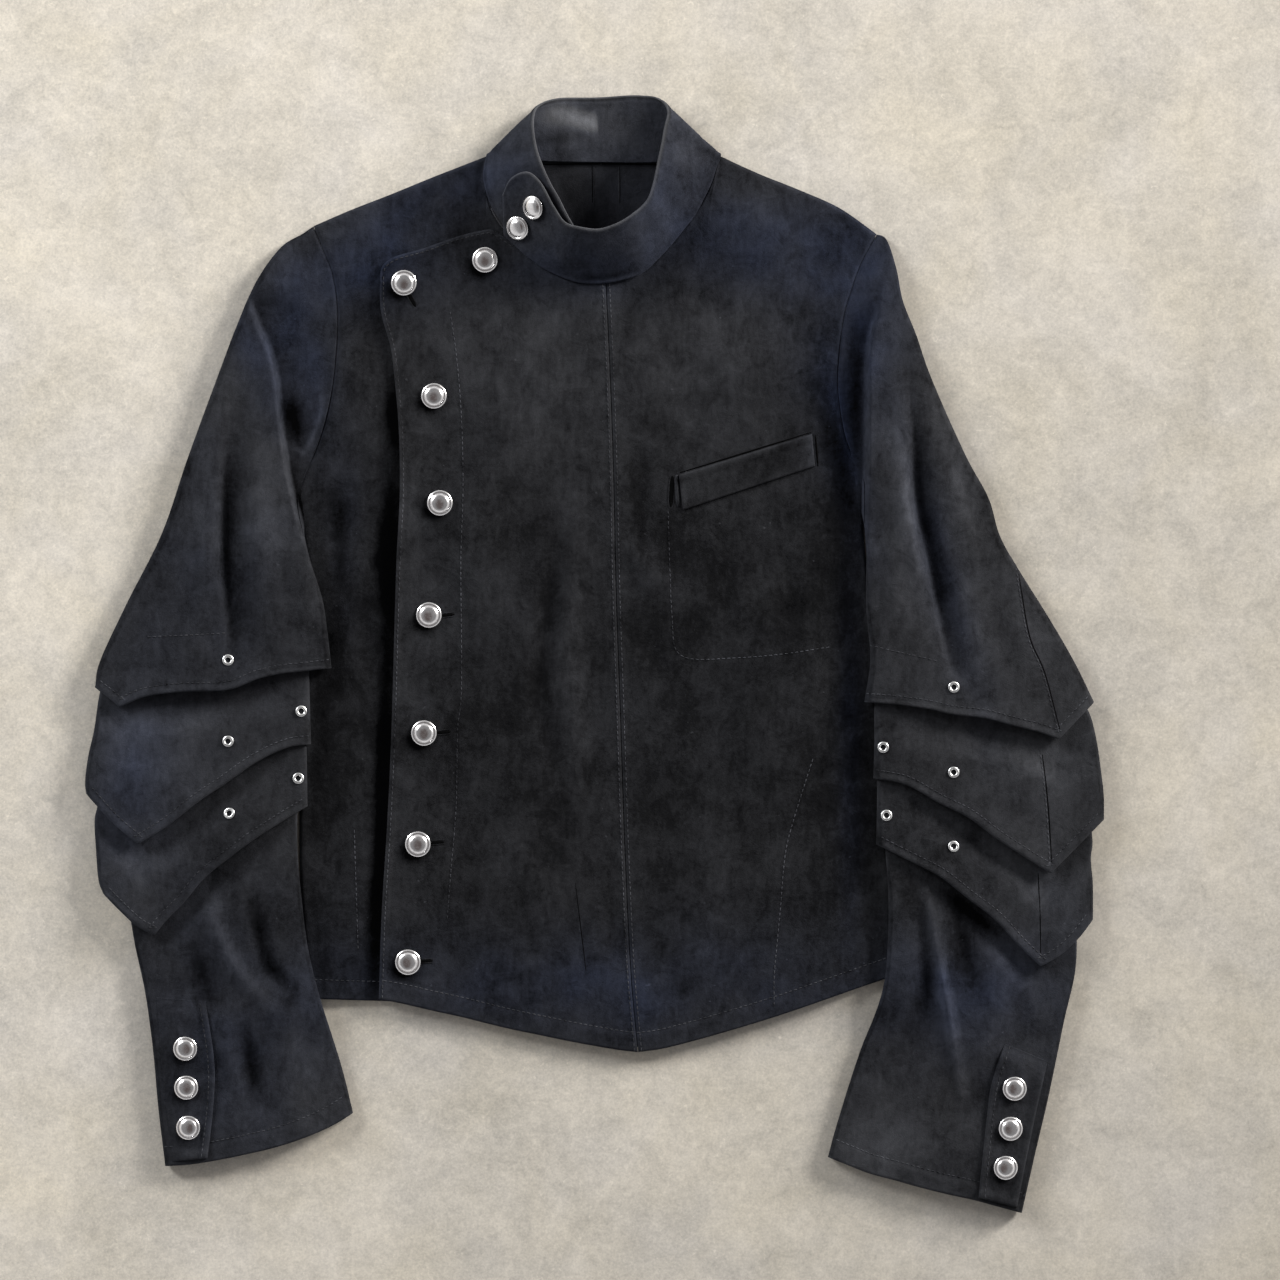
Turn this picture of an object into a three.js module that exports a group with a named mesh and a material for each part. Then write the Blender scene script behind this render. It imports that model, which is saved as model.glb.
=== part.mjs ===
// Stand-collar suede jacket laid flat on its back, in millimetres.
// +X is the wearer's left, +Y runs from hem to collar, +Z is up from the surface that it lies on.
// The origin is the centre of the jacket's footprint on that surface.
import * as THREE from 'three';
import { mergeVertices } from 'three/addons/utils/BufferGeometryUtils.js';

const wall = 1.6; // one layer of suede
const seamGap = 0.5; // between two panels at a seam
const halfGap = seamGap / 2;
const seatGap = 0.3; // under a button or an eyelet
const layerGap = 0.4; // between two layers that lie on each other
const bandThickness = 2.0; // the collar band, two layers pressed together
const backTop = wall;
const underFrontBase = backTop + layerGap; // underside of the front that lies next to the back
const bodyThickness = underFrontBase + wall; // back and front together at a side seam
const overFrontLift = wall + layerGap; // the over front lies this much higher
const buttonDiameter = 20;
const buttonHeight = 5.4;
const eyeletDiameter = 8.5;
const eyeletHole = 3.6;
const centre = { x: 0.55, y: -0.7 }; // the patterns' own centre, moved to the origin

const suede = new THREE.MeshStandardMaterial({ color: 0x161619, roughness: 0.95, metalness: 0 });
const suedeEdge = new THREE.MeshStandardMaterial({ color: 0x1d1d21, roughness: 0.9, metalness: 0 });
const silver = new THREE.MeshStandardMaterial({ color: 0xc9c9cc, roughness: 0.22, metalness: 1 });

const jacket = new THREE.Group();

// Small helpers for curves and blends.
const smooth = (t) => {
  const s = Math.min(1, Math.max(0, t));
  return s * s * (3 - 2 * s);
};
const mix = (a, b, t) => a + (b - a) * t;

// A smooth curve through the rows, as a chain of equal steps.
function curveThrough(rows, steps) {
  const points = rows.map((row) => new THREE.Vector3(row.x, row.y, row.z ?? 0));
  const curve = new THREE.CatmullRomCurve3(points, false, 'centripetal');
  return Array.from({ length: steps + 1 }, (_, i) => curve.getPointAt(i / steps));
}

// The rows themselves as a chain, for an edge with corners.
const chain = (rows) => rows.map((row) => new THREE.Vector3(row.x, row.y, row.z ?? 0));

// A point on a chain, t from 0 to 1 by its steps.
function along(points, t) {
  const place = Math.min(points.length - 1, Math.max(0, t * (points.length - 1)));
  const i = Math.min(points.length - 2, Math.floor(place));
  return points[i].clone().lerp(points[i + 1], place - i);
}

// The chain moved sideways in plan, to its left for a positive distance.
function movedAside(points, distance) {
  return points.map((point, i) => {
    const before = points[Math.max(0, i - 1)];
    const after = points[Math.min(points.length - 1, i + 1)];
    const direction = after.clone().sub(before).setZ(0).normalize();
    return point.clone().add(new THREE.Vector3(-direction.y, direction.x, 0).multiplyScalar(distance));
  });
}

// The x of a chain that runs down the jacket, at height y.
function xAt(points, y) {
  for (let i = 1; i < points.length; i += 1) {
    const [a, b] = [points[i - 1], points[i]];
    if ((a.y - y) * (b.y - y) <= 0 && a.y !== b.y) return mix(a.x, b.x, (a.y - y) / (a.y - b.y));
  }
  return Math.abs(points[0].y - y) < Math.abs(points.at(-1).y - y) ? points[0].x : points.at(-1).x;
}

// The y of a chain that runs across the jacket, at x.
function yAt(points, x) {
  for (let i = 1; i < points.length; i += 1) {
    const [a, b] = [points[i - 1], points[i]];
    if ((a.x - x) * (b.x - x) <= 0 && a.x !== b.x) return mix(a.y, b.y, (a.x - x) / (a.x - b.x));
  }
  return Math.abs(points[0].x - x) < Math.abs(points.at(-1).x - x) ? points[0].y : points.at(-1).y;
}

// Distance in plan from (x, y) to the stretch from a to b, and how far along it the nearest point is.
function toStretch(x, y, a, b) {
  const [dx, dy] = [b.x - a.x, b.y - a.y];
  const t = Math.min(1, Math.max(0, ((x - a.x) * dx + (y - a.y) * dy) / (dx * dx + dy * dy)));
  return { distance: Math.hypot(x - a.x - t * dx, y - a.y - t * dy), t };
}

function toChain(x, y, points) {
  const distances = points.slice(1).map((point, i) => toStretch(x, y, points[i], point).distance);
  return Math.min(...distances);
}

// Soft ridges (positive height) and troughs (negative), each along a stretch that is lower at its ends.
const foldEnds = 0.35; // share of a fold's height that is left at its ends
function foldHeight(folds, x, y) {
  return folds.reduce((sum, fold) => {
    const { distance, t } = toStretch(x, y, { x: fold.x1, y: fold.y1 }, { x: fold.x2, y: fold.y2 });
    const taper = mix(foldEnds, 1, Math.sin(Math.PI * t));
    return sum + fold.height * taper * Math.exp(-((distance / fold.width) ** 2));
  }, 0);
}

// A flat patch between four edges: top and bottom run across, left and right run down.
function patch(top, bottom, left, right) {
  const [topLeft, topRight] = [along(top, 0), along(top, 1)];
  const [bottomLeft, bottomRight] = [along(bottom, 0), along(bottom, 1)];
  const fitted = (side, first, last) => [first, ...side.slice(1, -1), last];
  const leftSide = fitted(left, topLeft, bottomLeft);
  const rightSide = fitted(right, topRight, bottomRight);
  return (u, v) => {
    const across = along(top, u).multiplyScalar(1 - v).add(along(bottom, u).multiplyScalar(v));
    const down = along(leftSide, v).multiplyScalar(1 - u).add(along(rightSide, v).multiplyScalar(u));
    const cornersTop = topLeft.clone().lerp(topRight, u);
    const cornersBottom = bottomLeft.clone().lerp(bottomRight, u);
    return across.add(down).sub(cornersTop.lerp(cornersBottom, v));
  };
}

// Turns a list of points and triangles into one named, closed piece with its faces outwards.
function addPiece(name, points, triangles, material) {
  const volume = triangles.reduce((sum, [a, b, c]) => {
    return sum + points[a].dot(points[b].clone().cross(points[c]));
  }, 0);
  const outward = volume < 0 ? triangles.map(([a, b, c]) => [a, c, b]) : triangles;
  const geometry = new THREE.BufferGeometry();
  const shifted = points.flatMap((point) => [point.x - centre.x, point.y - centre.y, point.z]);
  geometry.setAttribute('position', new THREE.Float32BufferAttribute(shifted, 3));
  geometry.setIndex(outward.flat());
  const mesh = new THREE.Mesh(mergeVertices(geometry, 1e-3), material);
  mesh.name = name;
  jacket.add(mesh);
  return mesh;
}

// The two triangles of a four-cornered face, split along its shorter diagonal.
function faceOf(points, a, b, c, d) {
  const shorter = points[a].distanceToSquared(points[c]) <= points[b].distanceToSquared(points[d]);
  return shorter ? [[a, b, c], [a, c, d]] : [[a, b, d], [b, c, d]];
}

// A wall between two grids of the same size, rows of points, closed along its four edges.
function addSheet(name, upper, lower, material) {
  const [rows, columns] = [upper.length, upper[0].length];
  const points = [...upper.flat(), ...lower.flat()];
  const at = (side, row, column) => side * rows * columns + row * columns + column;
  const triangles = [];
  const face = (...corners) => triangles.push(...faceOf(points, ...corners));
  for (let r = 0; r + 1 < rows; r += 1) {
    for (let c = 0; c + 1 < columns; c += 1) {
      face(at(0, r, c), at(0, r + 1, c), at(0, r + 1, c + 1), at(0, r, c + 1));
      face(at(1, r, c), at(1, r, c + 1), at(1, r + 1, c + 1), at(1, r + 1, c));
    }
    face(at(0, r, 0), at(1, r, 0), at(1, r + 1, 0), at(0, r + 1, 0));
    const last = columns - 1;
    face(at(0, r, last), at(0, r + 1, last), at(1, r + 1, last), at(1, r, last));
  }
  for (let c = 0; c + 1 < columns; c += 1) {
    face(at(0, 0, c), at(0, 0, c + 1), at(1, 0, c + 1), at(1, 0, c));
    face(at(0, rows - 1, c), at(1, rows - 1, c), at(1, rows - 1, c + 1), at(0, rows - 1, c + 1));
  }
  return addPiece(name, points, triangles, material);
}

// A tube wall between rings outside and inside, open at both ends.
function addTube(name, outer, inner, material) {
  const [rows, columns] = [outer.length, outer[0].length];
  const points = [...outer.flat(), ...inner.flat()];
  const at = (side, row, column) => side * rows * columns + row * columns + (column % columns);
  const triangles = [];
  const face = (...corners) => triangles.push(...faceOf(points, ...corners));
  for (let c = 0; c < columns; c += 1) {
    for (let r = 0; r + 1 < rows; r += 1) {
      face(at(0, r, c), at(0, r + 1, c), at(0, r + 1, c + 1), at(0, r, c + 1));
      face(at(1, r, c), at(1, r, c + 1), at(1, r + 1, c + 1), at(1, r + 1, c));
    }
    face(at(0, 0, c), at(0, 0, c + 1), at(1, 0, c + 1), at(1, 0, c));
    face(at(0, rows - 1, c), at(1, rows - 1, c), at(1, rows - 1, c + 1), at(0, rows - 1, c + 1));
  }
  return addPiece(name, points, triangles, material);
}

// Height of a grid's surface above (x, y), from the face of the grid that covers it.
function heightOn(grid, x, y) {
  const inside = (a, b, c) => {
    const area = (b.x - a.x) * (c.y - a.y) - (c.x - a.x) * (b.y - a.y);
    const s = ((b.x - x) * (c.y - y) - (c.x - x) * (b.y - y)) / area;
    const t = ((c.x - x) * (a.y - y) - (a.x - x) * (c.y - y)) / area;
    return s >= 0 && t >= 0 && s + t <= 1 ? s * a.z + t * b.z + (1 - s - t) * c.z : undefined;
  };
  let best;
  for (let r = 0; r + 1 < grid.length; r += 1) {
    for (let c = 0; c + 1 < grid[r].length; c += 1) {
      const [a, b, d, e] = [grid[r][c], grid[r][c + 1], grid[r + 1][c], grid[r + 1][c + 1]];
      const z = inside(a, b, d) ?? inside(b, e, d) ?? inside(a, b, e) ?? inside(a, e, d);
      if (z !== undefined && (best === undefined || z > best)) best = z;
    }
  }
  return best;
}

// Edges that two pieces share. Each runs from the collar downwards or from the wearer's right to left.
const armholeSteps = 10;
const sideSteps = 8;
const frontRows = armholeSteps + sideSteps;

const armholeRight = curveThrough([
  { x: -210.75, y: 320.25 },
  { x: -203.25, y: 302.25 },
  { x: -196.5, y: 285 },
  { x: -192.75, y: 260 },
  { x: -193.5, y: 227.25 },
  { x: -196.5, y: 199.5 },
  { x: -201.75, y: 174.75 },
  { x: -209.5, y: 151 },
  { x: -218, y: 134 },
  { x: -223.5, y: 119 },
], armholeSteps);
const sideRight = curveThrough([
  { x: -223.5, y: 119 },
  { x: -220, y: 94.5 },
  { x: -216.75, y: 69.75 },
  { x: -219, y: -35.25 },
  { x: -221.25, y: -155.25 },
  { x: -216.75, y: -222.75 },
  { x: -211.5, y: -259.5 },
], sideSteps);
const armholeLeft = curveThrough([
  { x: 212.25, y: 314.25 },
  { x: 201, y: 293.25 },
  { x: 194.25, y: 275.25 },
  { x: 188.25, y: 255.75 },
  { x: 184.5, y: 228 },
  { x: 183, y: 199.5 },
  { x: 186, y: 174.75 },
  { x: 190.5, y: 157 },
  { x: 197.5, y: 142 },
  { x: 203.5, y: 126 },
], armholeSteps);
const sideLeft = curveThrough([
  { x: 203.5, y: 126 },
  { x: 202.5, y: 106 },
  { x: 203, y: 84.75 },
  { x: 208, y: 39.75 },
  { x: 217.5, y: -35.25 },
  { x: 223.5, y: -155.25 },
  { x: 225, y: -207.75 },
  { x: 225, y: -242.25 },
], sideSteps);
const centreSeam = curveThrough([
  { x: 9, y: 277.5 },
  { x: 12, y: 213 },
  { x: 14.25, y: 150.75 },
  { x: 17.25, y: 27 },
  { x: 19.5, y: -35.25 },
  { x: 23.25, y: -147 },
  { x: 27.75, y: -240 },
  { x: 33, y: -299.25 },
], frontRows);
const bodyRight = [...armholeRight, ...sideRight.slice(1)];
const bodyLeft = [...armholeLeft, ...sideLeft.slice(1)];

// Edges that belong to one piece.
const backTopEdge = chain([
  { x: -210.75, y: 320.25 },
  { x: -152.25, y: 343.5 },
  { x: -123, y: 355.5 },
  { x: -78.75, y: 372.5 },
  { x: -55.5, y: 370.5 },
  { x: 8.25, y: 369.75 },
  { x: 72, y: 370.5 },
  { x: 94.5, y: 372 },
  { x: 143.25, y: 351 },
  { x: 175.5, y: 337.5 },
  { x: 212.25, y: 314.25 },
]);
const backHem = chain([
  { x: -211.5, y: -258 },
  { x: -161.25, y: -259 },
  { x: -111, y: -268 },
  { x: -62.25, y: -278.5 },
  { x: -18.75, y: -287.5 },
  { x: 34.5, y: -294.5 },
  { x: 74.25, y: -287.5 },
  { x: 105.75, y: -278.5 },
  { x: 130.5, y: -271 },
  { x: 177, y: -255.5 },
  { x: 225, y: -241 },
]);
const underFrontTop = chain([
  { x: -210.75, y: 320.25 },
  { x: -183, y: 332.25 },
  { x: -152.25, y: 344.25 },
  { x: -123, y: 356.25 },
  { x: -78.75, y: 373.5 },
  { x: -81, y: 347.25 },
  { x: -75.75, y: 330.75 },
  { x: -65.25, y: 315.75 },
  { x: -51.75, y: 304.5 },
  { x: -36.75, y: 296.25 },
]);
const underFrontHem = chain([
  { x: -211.5, y: -259.5 },
  { x: -190.5, y: -260.25 },
  { x: -172, y: -260.8 },
  { x: -155, y: -261.3 },
  { x: -138, y: -262 },
  { x: -121, y: -262.8 },
  { x: -105, y: -263.8 },
  { x: -88, y: -265 },
  { x: -72, y: -265.6 },
  { x: -55.5, y: -266 },
]);
const underFrontHiddenEdge = curveThrough([
  { x: -36.75, y: 296.25 },
  { x: -40.5, y: 264.75 },
  { x: -48, y: 189.75 },
  { x: -51.75, y: 39.75 },
  { x: -54, y: -110.25 },
  { x: -55.5, y: -266 },
], frontRows);
const overlapTop = chain([
  { x: -160.5, y: 283 },
  { x: -158.5, y: 290.5 },
  { x: -150.75, y: 296.5 },
  { x: -129, y: 303 },
  { x: -98.25, y: 313.5 },
  { x: -78, y: 318 },
  { x: -66, y: 311.25 },
  { x: -39, y: 289.5 },
  { x: -25.5, y: 282.75 },
  { x: -12, y: 278.25 },
  { x: 9, y: 277.5 },
]);
const overlapHem = chain([
  { x: -161.25, y: -259.5 },
  { x: -145.5, y: -262.5 },
  { x: -123, y: -267.75 },
  { x: -99, y: -273 },
  { x: -81, y: -277.5 },
  { x: -62.25, y: -282 },
  { x: -40.5, y: -286.5 },
  { x: -18.75, y: -291 },
  { x: 1.5, y: -294.75 },
  { x: 19.5, y: -297.75 },
  { x: 33, y: -299.25 },
]);
const overlapEdge = curveThrough([
  { x: -160.5, y: 283 },
  { x: -159.75, y: 256.5 },
  { x: -152.25, y: 228 },
  { x: -149.25, y: 203.25 },
  { x: -146.25, y: 166.5 },
  { x: -145.5, y: 120 },
  { x: -147.75, y: 73.5 },
  { x: -149.25, y: 27 },
  { x: -152.25, y: -69.75 },
  { x: -155.25, y: -132 },
  { x: -159, y: -193.5 },
  { x: -161.25, y: -259.5 },
], frontRows);
const leftFrontTop = chain([
  { x: 9, y: 277.5 },
  { x: 35.25, y: 285 },
  { x: 55.5, y: 305.25 },
  { x: 77.25, y: 332.25 },
  { x: 88.5, y: 353.25 },
  { x: 94.5, y: 372.75 },
  { x: 124.5, y: 359.25 },
  { x: 154.5, y: 347.25 },
  { x: 184.5, y: 333.75 },
  { x: 212.25, y: 314.25 },
]);
const leftFrontHem = chain([
  { x: 33, y: -299.25 },
  { x: 49.5, y: -297 },
  { x: 74.25, y: -291 },
  { x: 105.75, y: -282 },
  { x: 130.5, y: -274.5 },
  { x: 154.5, y: -266.6 },
  { x: 177, y: -258.75 },
  { x: 198.75, y: -251.25 },
  { x: 214.5, y: -246 },
  { x: 225, y: -242.25 },
]);

// Folds of the fronts. Both layers follow them where they lie on each other.
const frontFolds = [
  { x1: -34, y1: 60, x2: -25, y2: -90, width: 11, height: -1.3 },
  { x1: -14, y1: 60, x2: -6, y2: -95, width: 13, height: 2.6 },
  { x1: -80, y1: 150, x2: -84, y2: -60, width: 22, height: 2.2 },
  { x1: 46, y1: 90, x2: 52, y2: 40, width: 12, height: 2.4 },
  { x1: 120, y1: 60, x2: 128, y2: -120, width: 24, height: 2.2 },
  { x1: 70, y1: 240, x2: 140, y2: 200, width: 26, height: 3.0 },
  { x1: -60, y1: -130, x2: -20, y2: -240, width: 20, height: 1.8 },
  { x1: 90, y1: -140, x2: 84, y2: -250, width: 20, height: 2.0 },
];

// A panel of one wall: its grid of undersides from a patch and a height, and the wall on it.
function addPanel(name, plan, columns, rows, height, material) {
  const upper = [];
  const lower = [];
  for (let r = 0; r <= rows; r += 1) {
    const steps = Array.from({ length: columns + 1 }, (_, c) => c / columns);
    const line = steps.map((u) => {
      const point = plan(u, r / rows);
      return point.setZ(height(u, r / rows, point.x, point.y));
    });
    lower.push(line);
    upper.push(line.map((point) => point.clone().setZ(point.z + wall)));
  }
  addSheet(name, upper, lower, material);
  return upper;
}

// Shares of a front's width or length over which its folds die out or its height changes.
const fade = {
  top: 0.1,
  hem: 0.04,
  underSide: 0.3, // of the under front, at the side seam
  overEdge: 0.2, // of the over front, at its free edge
  overRise: 0.1,
  leftSide: 0.2, // of the left front, at the side seam
  leftSideFlat: 0.07,
  shoulderLength: 0.12,
  shoulderStart: 0.45,
  shoulderWidth: 0.15,
};
const overFront = {
  slack: 0.2, // over the under front, at the free edge
  rise: 0.5, // that much more away from the edge
  edgeFolds: 0.6, // share of the folds' height that shows at the edge
};
const leftFrontRise = 0.7; // the left front's middle over the height of the under front's lap
const foldsAt = (v, x, y) => (
  foldHeight(frontFolds, x, y) * smooth(v / fade.top) * smooth((1 - v) / fade.hem)
);

addPanel(
  'back',
  patch(backTopEdge, backHem, movedAside(bodyRight, halfGap), movedAside(bodyLeft, -halfGap)),
  backHem.length - 1,
  frontRows,
  () => 0,
  suede,
);

addPanel(
  'front_right',
  patch(underFrontTop, underFrontHem, movedAside(bodyRight, halfGap), underFrontHiddenEdge),
  underFrontHem.length - 1,
  frontRows,
  (u, v, x, y) => underFrontBase + foldsAt(v, x, y) * smooth(u / fade.underSide),
  suede,
);

const overlapGround = addPanel(
  'front_overlap',
  patch(overlapTop, overlapHem, overlapEdge, movedAside(centreSeam, -halfGap)),
  overlapHem.length - 1,
  frontRows,
  (u, v, x, y) => {
    const folds = foldsAt(v, x, y) * mix(overFront.edgeFolds, 1, smooth(u / fade.overEdge));
    const lift = overFrontLift + overFront.slack + overFront.rise * smooth(u / fade.overRise);
    return underFrontBase + lift + folds;
  },
  suede,
);

const leftFrontGround = addPanel(
  'front_left',
  patch(leftFrontTop, leftFrontHem, movedAside(centreSeam, halfGap), movedAside(bodyLeft, -halfGap)),
  leftFrontHem.length - 1,
  frontRows,
  (u, v, x, y) => {
    const awayFromSide = smooth((1 - u - fade.leftSideFlat) / fade.leftSide);
    const nearShoulder = 1 - smooth(v / fade.shoulderLength);
    const onShoulder = nearShoulder * smooth((u - fade.shoulderStart) / fade.shoulderWidth);
    const lift = (overFrontLift + leftFrontRise) * awayFromSide * (1 - onShoulder);
    return underFrontBase + lift + foldsAt(v, x, y) * awayFromSide;
  },
  suede,
);

// The collar band, as rulings from its seam to its top edge, from the buttoned end round to the hidden one.
const bandRulings = [
  { seamX: -67.5, seamY: 313.5, seamZ: 7.9, topX: -68, topY: 343, topZ: 14 },
  { seamX: -64.5, seamY: 310, seamZ: 7.7, topX: -61.5, topY: 355, topZ: 19.5 },
  { seamX: -57.5, seamY: 304, seamZ: 7.4, topX: -50.25, topY: 359.25, topZ: 23.5 },
  { seamX: -50, seamY: 297.5, seamZ: 7.3, topX: -40.5, topY: 351.75, topZ: 28.5 },
  { seamX: -39, seamY: 289.5, seamZ: 7.3, topX: -29.25, topY: 332.25, topZ: 31 },
  { seamX: -25.5, seamY: 282.75, seamZ: 7.3, topX: -21, topY: 321, topZ: 32.5 },
  { seamX: -12, seamY: 278.25, seamZ: 7.3, topX: -10.5, topY: 317.25, topZ: 33.5 },
  { seamX: 5.25, seamY: 277.5, seamZ: 7.4, topX: 3, topY: 315.75, topZ: 34 },
  { seamX: 21.75, seamY: 280.5, seamZ: 7.4, topX: 16.5, topY: 319.5, topZ: 34 },
  { seamX: 35.25, seamY: 285, seamZ: 7.4, topX: 28.5, topY: 327, topZ: 33 },
  { seamX: 49.5, seamY: 297.75, seamZ: 7.4, topX: 38.25, topY: 335.25, topZ: 31.5 },
  { seamX: 66, seamY: 316.5, seamZ: 7.3, topX: 43.5, topY: 347.25, topZ: 30 },
  { seamX: 77.25, seamY: 332.25, seamZ: 7.4, topX: 46.5, topY: 360.75, topZ: 27.5 },
  { seamX: 86.25, seamY: 348.75, seamZ: 7, topX: 49.5, topY: 375.75, topZ: 24 },
  { seamX: 91.5, seamY: 363.75, seamZ: 6.2, topX: 52.5, topY: 392.25, topZ: 19 },
  { seamX: 94.5, seamY: 373, seamZ: 5.8, topX: 54.75, topY: 405.75, topZ: 13 },
  { seamX: 79.5, seamY: 371.5, seamZ: 3.4, topX: 49.5, topY: 415.5, topZ: 7 },
  { seamX: 45, seamY: 368.25, seamZ: 2.9, topX: 34.5, topY: 418.5, topZ: 2.6 },
  { seamX: 4.5, seamY: 368.25, seamZ: 2.9, topX: 0.75, topY: 417, topZ: 1.6 },
  { seamX: -34.5, seamY: 369, seamZ: 2.9, topX: -28.5, topY: 416.25, topZ: 2.6 },
  { seamX: -66.75, seamY: 371.5, seamZ: 3.4, topX: -39.75, topY: 411.75, topZ: 7 },
  { seamX: -78.75, seamY: 373.7, seamZ: 5, topX: -43.5, topY: 407.25, topZ: 12 },
  { seamX: -82.5, seamY: 360.75, seamZ: 5, topX: -45, topY: 396, topZ: 18 },
  { seamX: -81, seamY: 347.25, seamZ: 5, topX: -42.75, topY: 378.75, topZ: 22 },
  { seamX: -74.5, seamY: 331.5, seamZ: 4.8, topX: -37.5, topY: 362.25, topZ: 25 },
  { seamX: -64.5, seamY: 319.5, seamZ: 4.7, topX: -31.5, topY: 349.5, topZ: 26.5 },
  { seamX: -51, seamY: 309, seamZ: 4.7, topX: -25.5, topY: 338.5, topZ: 27.5 },
  { seamX: -36.75, seamY: 299, seamZ: 4.7, topX: -17.5, topY: 327.5, topZ: 28.5 },
  { seamX: -24, seamY: 292.5, seamZ: 4.7, topX: -6, topY: 321.5, topZ: 29 },
];

function addCollar() {
  const columns = 54;
  const rows = 4;
  const steps = 400;
  const seamLine = curveThrough(bandRulings.map((r) => ({ x: r.seamX, y: r.seamY, z: r.seamZ })), steps);
  const topLine = curveThrough(bandRulings.map((r) => ({ x: r.topX, y: r.topY, z: r.topZ })), steps);
  // The two edges are paired ruling by ruling, so both are read at the same share of the rulings.
  const shareOf = (line, row) => {
    const nearest = line.reduce((best, point, i) => {
      const distance = Math.hypot(point.x - row.x, point.y - row.y, point.z - row.z);
      return distance < best.distance ? { distance, i } : best;
    }, { distance: Infinity, i: 0 });
    return nearest.i / (line.length - 1);
  };
  const seamShares = bandRulings.map((r) => shareOf(seamLine, { x: r.seamX, y: r.seamY, z: r.seamZ }));
  const topShares = bandRulings.map((r) => shareOf(topLine, { x: r.topX, y: r.topY, z: r.topZ }));
  const shareAt = (shares, t) => {
    const place = t * (shares.length - 1);
    const i = Math.min(shares.length - 2, Math.floor(place));
    return mix(shares[i], shares[i + 1], place - i);
  };
  const count = { length: columns + 1 };
  const middle = Array.from({ length: rows + 1 }, (_, r) => Array.from(count, (_unused, c) => {
    const t = c / columns;
    const low = along(seamLine, shareAt(seamShares, t));
    const high = along(topLine, shareAt(topShares, t));
    return low.lerp(high, r / rows);
  }));
  const normalAt = (r, c) => {
    const left = middle[r][Math.max(0, c - 1)];
    const right = middle[r][Math.min(columns, c + 1)];
    const down = middle[Math.max(0, r - 1)][c];
    const up = middle[Math.min(rows, r + 1)][c];
    return right.clone().sub(left).cross(up.clone().sub(down)).normalize();
  };
  const side = (offset) => middle.map((line, r) => line.map((point, c) => {
    return point.clone().addScaledVector(normalAt(r, c), offset);
  }));
  const faces = [side(bandThickness / 2), side(-bandThickness / 2)];
  addSheet('collar', faces[0], faces[1], suede);
  return { middle, normalAt, rows, columns };
}
const collar = addCollar();

// A piece sewn on a panel: its four edges in plan, laid on the panel's own surface.
function addPatchOn(name, ground, { top, bottom, left, right, columns, rows, thickness }) {
  const plan = patch(top, bottom, left, right);
  const count = { length: columns + 1 };
  const lower = Array.from({ length: rows + 1 }, (_, r) => Array.from(count, (_unused, c) => {
    const point = plan(c / columns, r / rows);
    return point.setZ(heightOn(ground, point.x, point.y) + layerGap);
  }));
  const upper = lower.map((line) => line.map((point) => point.clone().setZ(point.z + thickness)));
  addSheet(name, upper, lower, suedeEdge);
  return upper;
}

addPatchOn('pocket_welt', leftFrontGround, {
  top: chain([{ x: 63.75, y: 133.5 }, { x: 163.5, y: 164.25 }]),
  bottom: chain([{ x: 66.75, y: 107.25 }, { x: 165.75, y: 140.25 }]),
  left: chain([{ x: 63.75, y: 133.5 }, { x: 66.75, y: 107.25 }]),
  right: chain([{ x: 163.5, y: 164.25 }, { x: 165.75, y: 140.25 }]),
  columns: 8,
  rows: 2,
  thickness: 2.2,
});

// Flattened sleeve tubes. The plan is a patch, u across from the wearer's right, v from the shoulder down.
// edge is the thickness at the folded sides and crown what the middle adds, both once the tube is in view;
// hiddenEdge and hiddenCrown are the same inside the tube above, whose hem is cover.
const bodySides = {
  right: { seam: sideRight, inwards: 1, armpit: 99.75, hem: -262 },
  left: { seam: sideLeft, inwards: -1, armpit: 99.75, hem: -250 },
};
const ramp = {
  width: 60, // over which a sleeve climbs onto the body's side
  margin: 8, // full height is reached this far outside the side seam
  slack: 0.6, // more room between nested tubes on the ramp
  slackRate: 6, // times faster than the climb
  armpitFade: 30,
  hemReach: 36, // the ramp ends this far below the body's hem
  hemFade: 34,
  height: bodyThickness + 0.9, // what a sleeve lies on there
};
const cover = {
  margin: 10, // a tube starts to open this far below the hem that covers it
  fade: 24,
};
const crownPower = 0.7; // of the sine that makes the crown: lower is fuller towards the sides
const arcAngles = [0, Math.PI / 4, Math.PI / 2];

// The share of the body's side height that a sleeve has climbed at (x, y).
function climb(side, x, y) {
  const { seam, inwards, armpit, hem } = bodySides[side];
  const inside = (x - xAt(seam, y)) * inwards;
  const across = Math.min(1, Math.max(0, (inside + ramp.margin + ramp.width) / ramp.width));
  return across * smooth((armpit - y) / ramp.armpitFade) * smooth((y - hem + ramp.hemReach) / ramp.hemFade);
}

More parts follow.
